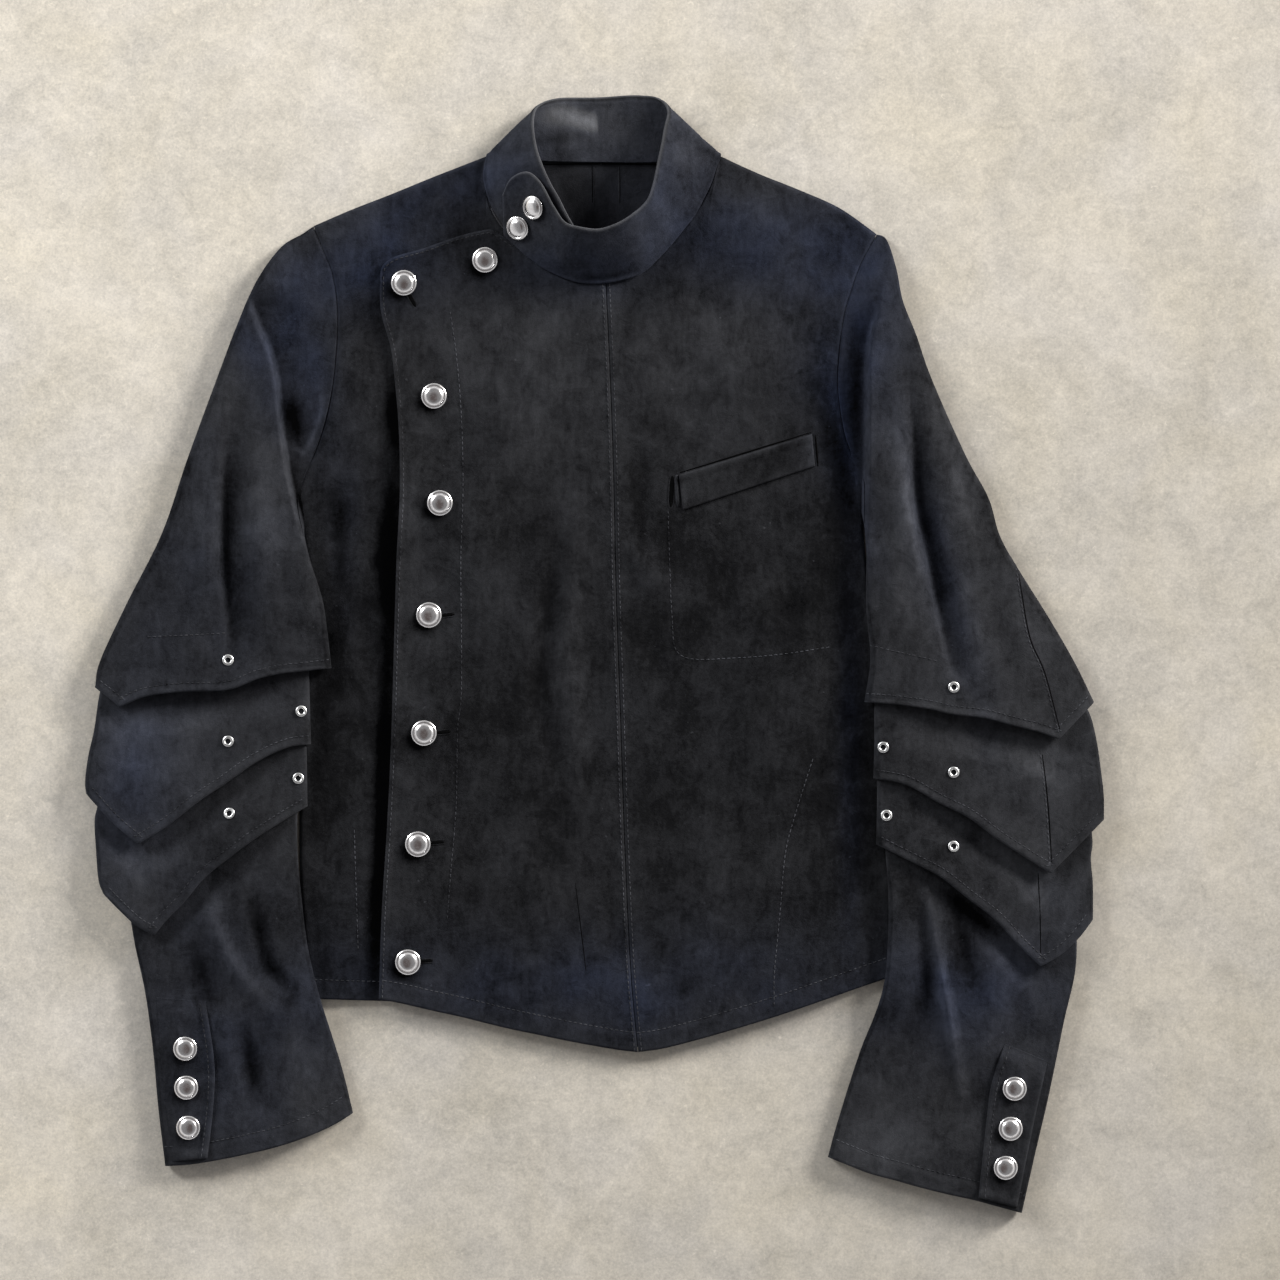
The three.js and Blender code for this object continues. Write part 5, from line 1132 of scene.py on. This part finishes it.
lowerSleeves = {
    "lower_sleeve_right": {
        "side": "right", "cover": tiers["tier_3_right"]["hem"],
        "top": curveThrough([
            (-352.5, -180), (-341.25, -183), (-329.25, -180), (-314.25, -167.25), (-295.5, -148.5),
            (-275.25, -132.75), (-257.25, -120), (-239.25, -110.25), (-222, -102.75),
        ]),
        "rightEdge": curveThrough([
            (-352.5, -180), (-348.75, -194.25), (-344.25, -219.75), (-336.75, -255), (-330.75, -299.25),
            (-327, -340.5), (-321.75, -384.75),
        ]),
        "leftEdge": curveThrough([
            (-222, -102.75), (-222, -149.25), (-219, -184.5), (-214.5, -219.75), (-207, -252),
            (-198, -282), (-188.25, -314.25), (-180.75, -345),
        ]),
        "hem": curveThrough([
            (-321.75, -384.75), (-301.5, -383.25), (-275.25, -378.75), (-258, -375), (-241.5, -371.25),
            (-224.25, -366), (-208.5, -360), (-192.75, -352.5), (-180.75, -345),
        ]),
        "hiddenEdge": 4.2, "hiddenCrown": 0, "edge": 7, "crown": 2.5, "hemFinish": "hem",
        "creases": [
            (((-288, -186), (-281, -212), (-266, -238), (-245, -262)), 4.0, 6, 9),
            (((-256, -180), (-250, -212), (-240, -240), (-226, -251), (-235, -287)), -3.4, 6, 7),
            (((-296, -225), (-289, -262)), -3.0, 7, 8),
            (((-263, -282), (-254, -332)), -3.0, 7, 9),
            (((-236, -140), (-232, -190), (-240, -225)), 2.4, 10, 8),
            (((-232, -250), (-226, -320)), 2.6, 12, 12),
            (((-275, -270), (-272, -330)), 2.0, 9, 7),
        ],
        "shades": [
            (((-256, -180), (-250, -212), (-240, -240), (-226, -251), (-235, -287)), -0.08, 6, 5),
            (((-288, -190), (-281, -212), (-266, -238), (-247, -262)), 0.05, 4, 5),
            (((-258, -288), (-254, -334)), -0.09, 7, 6), (((-312, -196), (-308, -256)), -0.05, 14, 14),
            (((-296, -225), (-289, -262)), -0.04, 6, 6),
        ],
        "brushed": [(-300, -230, 30, 40, 0, 0.03), (-215, -300, 18, 50, 0, 0.03)],
    },
    "lower_sleeve_left": {
        "side": "left", "cover": tiers["tier_3_left"]["hem"],
        "top": curveThrough([
            (219, -128.25), (240.75, -135.75), (258.75, -147), (278.25, -159), (300, -174.75),
            (319.5, -189), (334.5, -200.25), (349.5, -196.5), (361.5, -185.25),
        ]),
        "rightEdge": curveThrough([
            (219, -128.25), (218.25, -144.75), (220.5, -179.25), (220.5, -208.5), (217.5, -246.75),
            (210.75, -270.75), (200.25, -297), (182.25, -353.25), (175.5, -378),
        ]),
        "leftEdge": curveThrough([
            (361.5, -185.25), (361.5, -204), (362.25, -217.5), (360.75, -240.75), (353.25, -273.75),
            (347.25, -303), (340.5, -335.25), (331.5, -373.5), (321, -420),
        ]),
        "hem": curveThrough([
            (175.5, -378), (190.5, -384), (206.25, -390), (225.75, -395.25), (244.5, -400.5),
            (264.75, -405.5), (285.75, -410.25), (303, -415), (321, -420),
        ]),
        "hiddenEdge": 4.2, "hiddenCrown": 0, "edge": 7, "crown": 2.5, "hemFinish": "hem",
        "creases": [
            (((246, -168), (251, -192), (256, -222), (266, -272), (275, -330)), 4.0, 4.5, 5),
            (((223, -160), (241, -190), (250, -241), (244, -274), (234, -300)), -4.0, 8, 9),
            (((273, -182), (277, -225), (286, -262)), -3.2, 8, 7),
            (((302, -215), (300, -260), (294, -312)), 2.6, 13, 10),
            (((226, -230), (222, -262), (206, -300)), 2.6, 10, 10),
            (((318, -240), (322, -290)), -2.0, 9, 9),
        ],
        "shades": [
            (((223, -160), (241, -190), (250, -241), (244, -274), (234, -300)), -0.04, 7, 7),
            (((273, -182), (277, -225), (286, -262)), -0.035, 8, 6),
            (((248, -172), (252, -196), (257, -226), (267, -276), (275, -330)), 0.07, 2.5, 3),
            (((262, -186), (269, -226), (279, -272)), -0.05, 6, 5),
            (((262, -178), (284, -196), (306, -213)), -0.17, 6, 5),
            (((318, -240), (322, -290)), -0.02, 8, 8),
        ],
        "brushed": [(262, -240, 14, 60, 8, 0.06), (215, -370, 30, 25, 0, 0.07)],
    },
}
for sleeve, spec in lowerSleeves.items():
    makeSleeve(sleeve, spec)


sewnOn = {"pitch": 2.0, "flushReach": 11, "least": 0.15}  # mm


# A piece sewn on another: its plan laid on the ground's own surface, plus thickness and rounded edges. At
# the sides that are flush it thins out until it meets the ground.
def makeSewnOn(name, node, ground, outline, thickness, finishes, brushed=(), flush=()):
    _, _, plan = panelPlan(outline, sewnOn["pitch"])
    x, y = plan[..., 0], plan[..., 1]
    found = [seat(ground, px, py) for px, py in zip(x.ravel(), y.ravel())]
    heights = np.array([hit[0][2] if hit else np.nan for hit in found]).reshape(x.shape)
    heights = np.where(np.isnan(heights), np.nanmean(heights), heights)
    away = edgeDistances(plan)
    rim = np.minimum.reduce([away[side] for side in finishes])
    full = 1 + 0 * x
    for side in flush:
        full = full * smooth(away[side] / sewnOn["flushReach"])
    edging = sum(edgeFinish(kind, away[side]) for side, kind in finishes.items())
    top = heights + thickness * full + edging * full
    top = np.maximum(top, heights + sewnOn["least"])
    upper = np.dstack([x, y, top])
    lower = np.dstack([x, y, np.minimum(heights + 0.1, top - 0.4)])
    points, faces = shellOf(upper, lower)
    values = napValues(x, y, patchesAt(brushed, x, y), 0.03 * bell(rim - 0.5, 1.5) * full)
    obj = makePiece(name, points, faces, sleeveSuede if "cuff" in name else bodySuede, values)
    keepGround(node, upper)
    declareCloth(obj, node, longest(upper, 1), longest(upper, 0), gridArea(upper))


welt = {"corners": [(63.75, 133.5), (163.5, 164.25), (66.75, 107.25), (165.75, 140.25)], "thickness": 1.7}


def straight(a, b):
    return np.array([a, b], float)


topLeft, topRight, bottomLeft, bottomRight = welt["corners"]
makeSewnOn("pocket_welt_cloth", "pocket_welt", "front_left",
           (straight(topLeft, topRight), straight(bottomLeft, bottomRight), straight(topLeft, bottomLeft),
            straight(topRight, bottomRight)), welt["thickness"],
           {"left": "cut", "right": "cut", "top": "turned", "bottom": "cut"},
           [(162, 152, 3.2, 16, 5, 0.09), (68, 120, 3, 12, 0, 0.05)])
plackets = {
    "cuff_placket_right": (
        straight((-328, -258), (-291, -261)), straight((-315.5, -381), (-289.5, -378.5)),
        curveThrough([(-328, -258), (-323, -320), (-315.5, -381)]),
        curveThrough([(-291, -261), (-284.25, -308), (-285, -337.5), (-289.5, -378.5)])),
    "cuff_placket_left": (
        straight((307.5, -292.5), (340, -306)), straight((288, -408), (317, -415.5)),
        curveThrough([(307.5, -292.5), (297.75, -323.25), (294.75, -344.25), (288, -408)]),
        curveThrough([(340, -306), (330, -350), (317, -415.5)])),
}
# Each placket carries painted shadow below its buttons.
for placket, outline in plackets.items():
    makeSewnOn(placket + "_cloth", placket, placket.replace("cuff_placket", "lower_sleeve"), outline,
               cloth["wall"], dict.fromkeys(("left", "right", "top", "bottom"), "turned"),
               paintedShadowBelow("cuff_" + placket.split("_")[-1], -0.12),
               ("left", "top") if placket.endswith("right") else ("top",))
print("cloth pieces made")

buttonGround = {"front": "front_overlap", "collar": "collar", "right": "cuff_placket_right",
                "left": "cuff_placket_left"}
# Button: radius and height of each ring of its profile, from the foot outwards and up to the crown.
button = {
    "sides": 44,
    "sizes": {"front": 0.98, "collar": 0.92, "right": 0.92, "left": 0.92},
    "collarLean": (-0.16, 0.0, 0.0),
    "profile": [
        (0.0, 0.0), (9.0, 0.0), (9.8, 0.2), (10.0, 0.6), (9.9, 0.95), (9.5, 1.4), (9.0, 1.72), (8.5, 1.93),
        (8.1, 2.0), (7.85, 1.86), (7.65, 1.62), (7.45, 1.66), (7.15, 2.0), (6.6, 2.45), (6.0, 2.84),
        (5.4, 3.14), (4.8, 3.34), (4.0, 3.53), (3.0, 3.69), (2.0, 3.79), (1.0, 3.85), (0.0, 3.87),
    ],
}


# A turned shape: the profile's rings round the z axis, closed at both poles with triangles.
def turned(profile, sides):
    rows = np.asarray(profile, float)
    angle = np.linspace(0, 2 * np.pi, sides, endpoint=False)
    ring = np.stack([np.cos(angle), np.sin(angle)], -1)
    radii, heights = rows[1:-1, None, :1], rows[1:-1, None, 1:]
    body = np.concatenate([radii * ring[None], heights + 0 * ring[None, :, :1]], -1)
    points = np.vstack([body.reshape(-1, 3), (0, 0, rows[0, 1]), (0, 0, rows[-1, 1])])
    faces = gridFaces(len(rows) - 2, sides, wrap=True).tolist()
    foot, crown, last = len(points) - 2, len(points) - 1, (len(rows) - 3) * sides
    for i in range(sides):
        j = (i + 1) % sides
        faces.append([foot, i, j])
        faces.append([crown, last + j, last + i])
    return points, faces


# The faces as rows of four; a triangle repeats its last corner.
def asQuads(faces):
    return np.array([face + face[-1:] if len(face) == 3 else face for face in faces])


# Turns points so that their z axis points along the normal, and moves them to the place.
def placed(points, place, normal):
    z = np.asarray(normal) / np.linalg.norm(normal)
    x = np.cross((0.0, 1.0, 0.0), z)
    x /= np.linalg.norm(x)
    return points @ np.array([x, np.cross(z, x), z]) + place


# Where a round piece of that radius sits: the mean normal under it, raised until it clears the cloth.
def seatRound(ground, x, y, radius):
    middle, _ = seat(ground, x, y)
    angles = np.linspace(0, 2 * np.pi, 12, endpoint=False)
    hits = [seat(ground, x + radius * math.cos(a), y + radius * math.sin(a)) for a in angles]
    hits = [hit for hit in hits if hit]
    normal = np.mean([hit[1] for hit in hits], axis=0)
    normal /= np.linalg.norm(normal)
    lift = max([0.0] + [float((hit[0] - middle) @ normal) for hit in hits])
    return middle + normal * (lift * 0.6), normal


def makeRound(name, points, faces, material, node):
    mesh = bpy.data.meshes.new(name)
    mesh.from_pydata(((points - patternCentre) * 0.001).tolist(), [], faces)
    mesh.polygons.foreach_set("use_smooth", np.ones(len(mesh.polygons), bool))
    mesh.materials.append(material)
    mesh.update()
    obj = bpy.data.objects.new(name, mesh)
    bpy.context.scene.collection.objects.link(obj)
    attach(obj, "root")
    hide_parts(node)
    return obj


buttonShape = turned(button["profile"], button["sides"])
for node in sorted(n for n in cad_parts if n.startswith("button_")):
    key = next(k for k in buttonGround if k in node)
    x, y = middleOf(node)
    place, normal = seatRound(buttonGround[key], x, y, 7.5)
    size = button["sizes"][key]
    if key == "collar":
        normal = normal + np.array(button["collarLean"])
    makeRound(node + "_silver", placed(buttonShape[0] * size, place, normal), buttonShape[1], silver, node)
print("buttons made")

eyelet = {
    "sides": 30,
    "profile": [
        (1.75, -0.6), (4.1, -0.2), (4.3, 0.15), (4.25, 0.55), (3.9, 0.95), (3.3, 1.15), (2.7, 1.1),
        (2.2, 0.75), (1.9, 0.2), (1.75, -0.4),
    ],
}


# A ring: the closed profile carried round the z axis.
def ringShape(profile, sides):
    rows = np.asarray(profile, float)
    angle = np.linspace(0, 2 * np.pi, sides, endpoint=False)
    grid = np.stack([rows[:, :1] * np.cos(angle), rows[:, :1] * np.sin(angle), rows[:, 1:] + 0 * angle], -1)
    count = len(rows)
    faces = []
    for i in range(count):
        for j in range(sides):
            a, b = i * sides, ((i + 1) % count) * sides
            faces.append([a + j, a + (j + 1) % sides, b + (j + 1) % sides, b + j])
    return grid.reshape(-1, 3), faces


eyeletGround = {"1": "upper_sleeve_", "2": "tier_2_", "3": "tier_3_", "4": "tier_2_", "5": "tier_3_"}
eyeletShape = ringShape(eyelet["profile"], eyelet["sides"])
hole = turned([(0, -0.5), (1.9, -0.5), (1.9, 0.25), (0, 0.25)], 16)
for node in sorted(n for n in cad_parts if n.startswith("eyelet_")):
    _, sleeveSide, number = node.split("_")
    x, y = middleOf(node)
    place, normal = seatRound(eyeletGround[number] + sleeveSide, x, y, 3.5)
    makeRound(node + "_ring", placed(eyeletShape[0], place, normal), eyeletShape[1], eyeletSteel, node)
    # A near-black plug of painted shade fills the ring's hole.
    holeShadePlug = makePiece(node + "_hole", placed(hole[0], place, normal), asQuads(hole[1]), openingShadeSuede)
    holeShadePlug.data.validate()
    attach(holeShadePlug, "root")
print("eyelets made")

# Rows of stitches: each row a path on a ground, with the distance between stitches.
stitch = {"length": 2.7, "width": 0.75, "height": 0.45, "spacing": 3.9}
stitchShape = np.array(
    [(-0.5, 0, 0)] + [(s, 0.5 * math.cos(a), 0.5 * math.sin(a)) for s in (-0.36, 0, 0.36)
                      for a in np.linspace(0, 2 * np.pi, 5, endpoint=False)] + [(0.5, 0, 0)])
stitchFaces = [[0, 1 + i, 1 + (i + 1) % 5] for i in range(5)]
stitchFaces += [[16, 11 + (i + 1) % 5, 11 + i] for i in range(5)]
for k in (1, 6):
    for i in range(5):
        j = (i + 1) % 5
        stitchFaces += [[k + i, k + 5 + i, k + 5 + j], [k + i, k + 5 + j, k + j]]
stitchFaces = np.array(stitchFaces)


# Stitches at even distances along a path. Only short lists of points need a curve through them.
def stitchRow(ground, path):
    line = np.asarray(path, float)
    if 2 < len(line) < 24:
        line = curveThrough(line)
    count = max(1, int(longest(line[None], 1) * 1000 / stitch["spacing"]))
    shares = np.linspace(0, 1, count, endpoint=False) + 0.5 / count
    middles, ahead = along(line, shares), along(line, shares + 0.002)
    points = []
    for place, beyond in zip(middles, ahead):
        hit = seat(ground, *place)
        if hit is None:
            continue
        top, normal = hit
        forward = np.append(beyond - place, 0.0)
        forward -= normal * (forward @ normal)
        forward /= max(np.linalg.norm(forward), 1e-9)
        aside3 = np.cross(normal, forward)
        shape = stitchShape * (stitch["length"], stitch["width"], stitch["height"])
        points.append(shape @ np.array([forward, aside3, normal]) + top + normal * 0.08)
    return points


flapEdge = aside(curveThrough(overlap["edge"]), 2.6)
flapTop = aside(curveThrough(overlap["top"], (5,)), -2.6)
stitchRows = [
    ("front_overlap", flapEdge), ("front_overlap", flapTop[6:-60]),
    ("front_overlap", aside(centreSeam, -2.6)), ("front_left", aside(centreSeam, 2.6)),
    ("front_overlap", [(-108, 256.5), (-104.25, 231.75), (-101.25, 203.25), (-99, 166.5), (-98.25, 120),
                       (-99.75, 73.5), (-99.75, -35.25), (-102, -54), (-103.5, -116.25), (-107.25, -162.75),
                       (-110.25, -200.25)]),
    ("front_overlap", aside(curveThrough(overlap["hem"]), 14.5)),
    ("front_left", aside(curveThrough(leftFront["hem"]), 14.5)),
    ("front_right", aside(curveThrough(underFront["hem"]), 14.5)),
    ("front_left", [(164.25, -78.75), (152.25, -116.25), (144, -147), (139.5, -193.5), (136.5, -225),
                    (135, -243.75), (135, -265)]),
    ("front_left", [(55.5, 107.25), (57, 57.75), (58.5, 27), (61.5, 2.25), (69.75, -3.75), (105.75, -3.75),
                    (142.5, -0.75), (177, 4.5)]),
    ("front_right", [(-180, -132), (-177, -222.75)]), ("front_left", [(129, 133.6), (131.5, 136.4)]),
    ("upper_sleeve_right", [(-335, 12), (-300, 13.5), (-275.25, 15)]),
    ("upper_sleeve_left", [(205.5, 6), (231, 0), (257.25, -6)]),
    ("upper_sleeve_left", [(315.75, 68.25), (318.75, 45.75), (325.5, 9.75), (335.25, -12.75), (348, -60)]),
    ("tier_2_left", [(334.5, -75.75), (339, -120), (341.25, -160)]),
]
for tube, spec in {**upperSleeves, **tiers}.items():
    stitchRows.append((tube, aside(spec["hem"], 6.5)))
for tube, spec in lowerSleeves.items():
    stitchRows.append((tube, aside(spec["hem"], 14.5)))
for placket, outline in plackets.items():
    side = outline[3] if placket.endswith("right") else outline[2]
    stitchRows.append((placket, aside(side, -4.5 if placket.endswith("right") else 4.5)))

allStitches = [shape for ground, path in stitchRows for shape in stitchRow(ground, path)]
count = len(allStitches)
stitchPoints = np.concatenate(allStitches)
faceSets = (stitchFaces[None] + (np.arange(count) * 17)[:, None, None]).reshape(-1, 3)
stitching = makePiece("stitching", stitchPoints, faceSets, threadSuede)
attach(stitching, "root")
print("stitches", count)

# Buttonholes that show beside their buttons: a near-black sheet of painted shade in the slit between two
# corded lips.
# The pocket's open end is a slit of painted shade too. Rows: ground, middle x and y, turn in degrees,
# length, width.
slits = [
    ("front_overlap", -136.5, 264.5, -60, 12.0, 2.8),
    ("front_overlap", -109.5, 28.5, 6, 11.0, 2.6),
    ("front_overlap", -113.0, -59.5, 6, 12.0, 2.7),
    ("front_overlap", -117.5, -142.0, 4, 11.5, 2.6),
    ("front_overlap", -126.5, -231.0, 3, 12.0, 2.4),
    ("front_left", 58.2, 121.0, 87, 25.0, 3.6),
]
ball = turned([(0, -0.5), (0.28, -0.4), (0.45, -0.2), (0.5, 0), (0.45, 0.2), (0.28, 0.4), (0, 0.5)], 14)
ballFaces = asQuads(ball[1])
slitShadePoints, lipPoints = [], []
for ground, x, y, turn, length, width in slits:
    place, normal = seat(ground, x, y)
    forward = np.array([math.cos(math.radians(turn)), math.sin(math.radians(turn)), 0.0])
    forward -= normal * (forward @ normal)
    sideways = np.cross(normal, forward)
    axes = np.array([forward, sideways, normal])
    slitShadePoints.append(ball[0] * (length, width, 0.7) @ axes + place + normal * 0.05)
    for s in (-1, 1):
        lipPoints.append(ball[0] * (length * 1.02, 0.9, 0.8) @ axes + place + sideways * s * width * 0.6)
for name, parts, material in (("buttonhole_slits", slitShadePoints, openingShadeSuede),
                              ("buttonhole_lips", lipPoints, bodySuede)):
    joined = np.concatenate([ballFaces + len(ball[0]) * k for k in range(len(parts))])
    piece = makePiece(name, np.concatenate(parts), joined, material)
    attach(piece, "root")

# Seam lines and grooves: ground, path, width, height, and whether they look light. The dark ones are
# near-black cords of painted shade in the grooves and along the pocket welt's opening.
seamLines = [
    ("back", [(-44, 369.8), (5, 370.2), (54, 369.8)], 0.9, 0.6, True),
    ("back", [(-42, 366.8), (5, 367.2), (52, 366.8)], 1.1, 0.25, False),
    ("back", [(0, 366), (0.3, 352), (0.5, 336)], 0.8, 0.3, True),
    ("back", [(18.8, 366), (18.9, 352), (19, 338)], 1.0, 0.5, True),
    ("back", [(-1.5, 366), (-1.2, 352), (-1, 338)], 0.9, 0.15, False),
    ("upper_sleeve_left", [(317.3, 68), (320.3, 45.75), (327, 9.75), (336.8, -12.75), (349, -58)], 1.1, 0.15,
     False),
    ("tier_2_left", [(336, -76), (340.5, -120), (342.7, -158)], 1.1, 0.15, False),
    ("tier_3_left", [(333, -165), (334.2, -200), (334.5, -228)], 1.0, 0.15, False),
    ("front_overlap", [(-14, -172), (-10, -205), (-6, -238)], 0.8, 0.12, False),
    ("front_left", [(61.9, 133.5), (62.4, 122), (63.6, 110)], 4.2, 1.3, True),
    ("front_left", [(64.5, 135.2), (114, 150.4), (163, 165.6)], 1.5, 0.12, False),
    ("front_left", [(166, 163.5), (167, 152), (168, 140)], 1.6, 0.12, False),
]


# A thin cord with a four-sided section along a path on the ground.
def cordOn(ground, path, width, height):
    line = curveThrough(path)
    count = max(4, int(longest(line[None], 1) * 1000 / 3))
    spots = along(line, np.linspace(0, 1, count))
    hits = [seat(ground, *spot) for spot in spots]
    middles = np.array([hit[0] for hit in hits if hit])
    normals = np.array([hit[1] for hit in hits if hit])
    heading = np.gradient(middles, axis=0)
    heading /= np.linalg.norm(heading, axis=1)[:, None]
    sideways = np.cross(normals, heading)
    swelling = np.sin(np.pi * np.linspace(0.04, 0.96, len(middles)))[:, None] ** 0.3
    ring = [sideways * width / 2, normals * height, -sideways * width / 2, -normals * 0.4]
    points = np.stack([middles + offset * swelling for offset in ring], 1).reshape(-1, 3)
    caps = np.array([[3, 2, 1, 0], [len(points) - 4 + k for k in range(4)]])
    return points, np.concatenate([gridFaces(len(middles), 4, wrap=True)[:, ::-1], caps])


# Light cords are seam ridges; dark cords are painted shade in grooves.
for light, name in ((True, "seam_ridges"), (False, "seam_grooves")):
    shapes = [cordOn(*row[:4]) for row in seamLines if row[4] == light]
    starts = np.cumsum([0] + [len(points) for points, _ in shapes])
    joined = np.concatenate([faces + start for (_, faces), start in zip(shapes, starts)])
    piece = makePiece(name, np.concatenate([points for points, _ in shapes]), joined,
                      seamSuede if light else openingShadeSuede)
    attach(piece, "root")

# Floor, light and camera
# The floor's colour is painted lighter to the left and upwards and darker to the right: painted light
# falloff.
floorLook = {  # metres, colours, and how much lighter it is to the left, the right and upwards
    "halfWidth": 3.2, "height": -0.0004, "joint": (0.2375, 0.2385), "roughness": 0.75, "specular": 0.2,
    "dark": (0.415, 0.383, 0.325, 1), "light": (0.71, 0.647, 0.54, 1), "cooler": (0.97, 0.99, 1.06, 1),
    "leftShare": 1.13, "rightShare": 0.87, "upShare": 0.1,
}
# Noises of the floor, in the same columns as those of the nap.
floorNoises = {
    "cloudy": (6, 8.0, 0.7, 0.3, 0.3, 0.7),
    "patchy": (34, 6.0, 0.7, 0.6, 0.28, 0.72),
    "speckle": (150, 4.0, 0.75, 0.3, 0.25, 0.75),
    "grain": (520, 3.0, 0.8, 0.0, 0.25, 0.75),
    "pale": (230, 2.0, 0.6, 1.2, 0.66, 0.74),
    "warmth": (9, 3.0, 0.6, 0.4, 0.3, 0.7),
}
corners = np.array([(-1, -1, 0), (1, -1, 0), (1, 1, 0), (-1, 1, 0)], float) * floorLook["halfWidth"]
corners[:, 2] = floorLook["height"]
floorMesh = bpy.data.meshes.new("floor")
floorMesh.from_pydata(corners.tolist(), [], [(0, 1, 2, 3)])
floorMaterial, floorTree, floorShader = newMaterial("paleFloor")
floorPlace = addNode(floorTree, "ShaderNodeTexCoord").outputs["Object"]
cloudy, patchy, speckle, grain, pale, warmth = (
    spreadNoise(floorTree, floorPlace, *row) for row in floorNoises.values())
across, upwards, _ = addNode(floorTree, "ShaderNodeSeparateXYZ", {0: floorPlace}).outputs
beyondJoint = maths(floorTree, "MULTIPLY", spread(floorTree, upwards, *floorLook["joint"]),
                    spread(floorTree, across, 0.22, 0.4))
mottled = layered(floorTree, 0.53, (
    (beyondJoint, 0.08, 0.0), (cloudy, 0.5, 0.5), (patchy, 0.5, 0.5), (speckle, 0.5, 0.5),
    (grain, 0.62, 0.5), (pale, 0.35, 0.05)))
floorMix = colorMix(floorTree, mottled, floorLook["dark"], floorLook["light"])
cooler = colorMix(floorTree, 1.0, floorMix, floorLook["cooler"], "MULTIPLY")
floorMix = colorMix(floorTree, warmth, floorMix, cooler)
# Painted light falloff across the floor.
paintedLightFalloff = addNode(floorTree, "ShaderNodeMapRange", {
    "Value": across, "From Min": -0.5, "From Max": 0.5, "To Min": floorLook["leftShare"],
    "To Max": floorLook["rightShare"]}).outputs["Result"]
paintedLightFalloff = layered(floorTree, paintedLightFalloff, ((upwards, floorLook["upShare"], 0.0),))
floorColor = colorMix(floorTree, 1.0, floorMix, paintedLightFalloff, "MULTIPLY")
floorTree.links.new(floorColor, floorShader.inputs["Base Color"])
floorShader.inputs["Roughness"].default_value = floorLook["roughness"]
floorShader.inputs["Specular IOR Level"].default_value = floorLook["specular"]
floorMesh.materials.append(floorMaterial)
floor = bpy.data.objects.new("floor", floorMesh)
bpy.context.scene.collection.objects.link(floor)


def areaLight(name, place, target, size, power, color):
    light = bpy.data.lights.new(name, "AREA")
    light.shape = "DISK"
    light.size = size
    light.energy = power
    light.color = color
    obj = bpy.data.objects.new(name, light)
    obj.location = place
    obj.rotation_euler = (Vector(target) - Vector(place)).to_track_quat("-Z", "Y").to_euler()
    bpy.context.scene.collection.objects.link(obj)


areaLight("windowLight", (4.15, 2.8, 1.3), (0, 0, 0), 1.5, 525, (1.0, 0.98, 0.95))
areaLight("secondLight", (-3.6, 2.8, 1.6), (0, 0, 0), 1.8, 215, (0.96, 0.98, 1.0))
# The room's walls are brighter than its ceiling. Straight above, a little towards the lower edge of the
# picture, the room is dark, which the buttons mirror.
roomLook = {
    "ceiling": (0.24, 0.24, 0.247, 1), "walls": (0.78, 0.78, 0.79, 1), "wallTop": (0.62, 0.42),
    "dark": (0.1, 0.082, 0.08, 1), "darkMiddle": (-0.06, -0.12), "darkHalf": (0.3, 0.44),
    "darkRim": (0.5, 1.2), "strength": 0.86,
}
world = bpy.data.worlds.new("room")
bpy.context.scene.world = world
world.use_nodes = True
worldTree = world.node_tree
sky = addNode(worldTree, "ShaderNodeTexCoord").outputs["Generated"]
skyX, skyY, skyZ = addNode(worldTree, "ShaderNodeSeparateXYZ", {0: sky}).outputs
walls = colorMix(worldTree, spread(worldTree, skyZ, *roomLook["wallTop"]), roomLook["ceiling"],
                 roomLook["walls"])
fromDark = 0.0
for sky, middle, half in zip((skyX, skyY), roomLook["darkMiddle"], roomLook["darkHalf"]):
    share = maths(worldTree, "DIVIDE", maths(worldTree, "SUBTRACT", sky, middle), half)
    fromDark = maths(worldTree, "ADD", fromDark, maths(worldTree, "MULTIPLY", share, share))
room = colorMix(worldTree, spread(worldTree, fromDark, *roomLook["darkRim"]), roomLook["dark"], walls)
worldTree.links.new(room, worldTree.nodes["Background"].inputs["Color"])
worldTree.nodes["Background"].inputs["Strength"].default_value = roomLook["strength"]

# The camera looks straight down from where its lens takes in the frame's width at the cloth's height.
overhead = {"lens": 135, "sensor": 36, "frameWidth": 0.96, "middle": (0.03395, 0.01045),
            "clothHeight": 0.005}
camera = bpy.data.cameras.new("overhead")
camera.lens, camera.sensor_width = overhead["lens"], overhead["sensor"]
cameraObject = bpy.data.objects.new("overhead", camera)
cameraHeight = overhead["clothHeight"] + overhead["frameWidth"] * camera.lens / camera.sensor_width
cameraObject.location = (*overhead["middle"], cameraHeight)
camera.clip_end = 20
bpy.context.scene.collection.objects.link(cameraObject)
bpy.context.scene.camera = cameraObject
bpy.context.scene.view_settings.view_transform = "Standard"
print("floor, light and camera set")
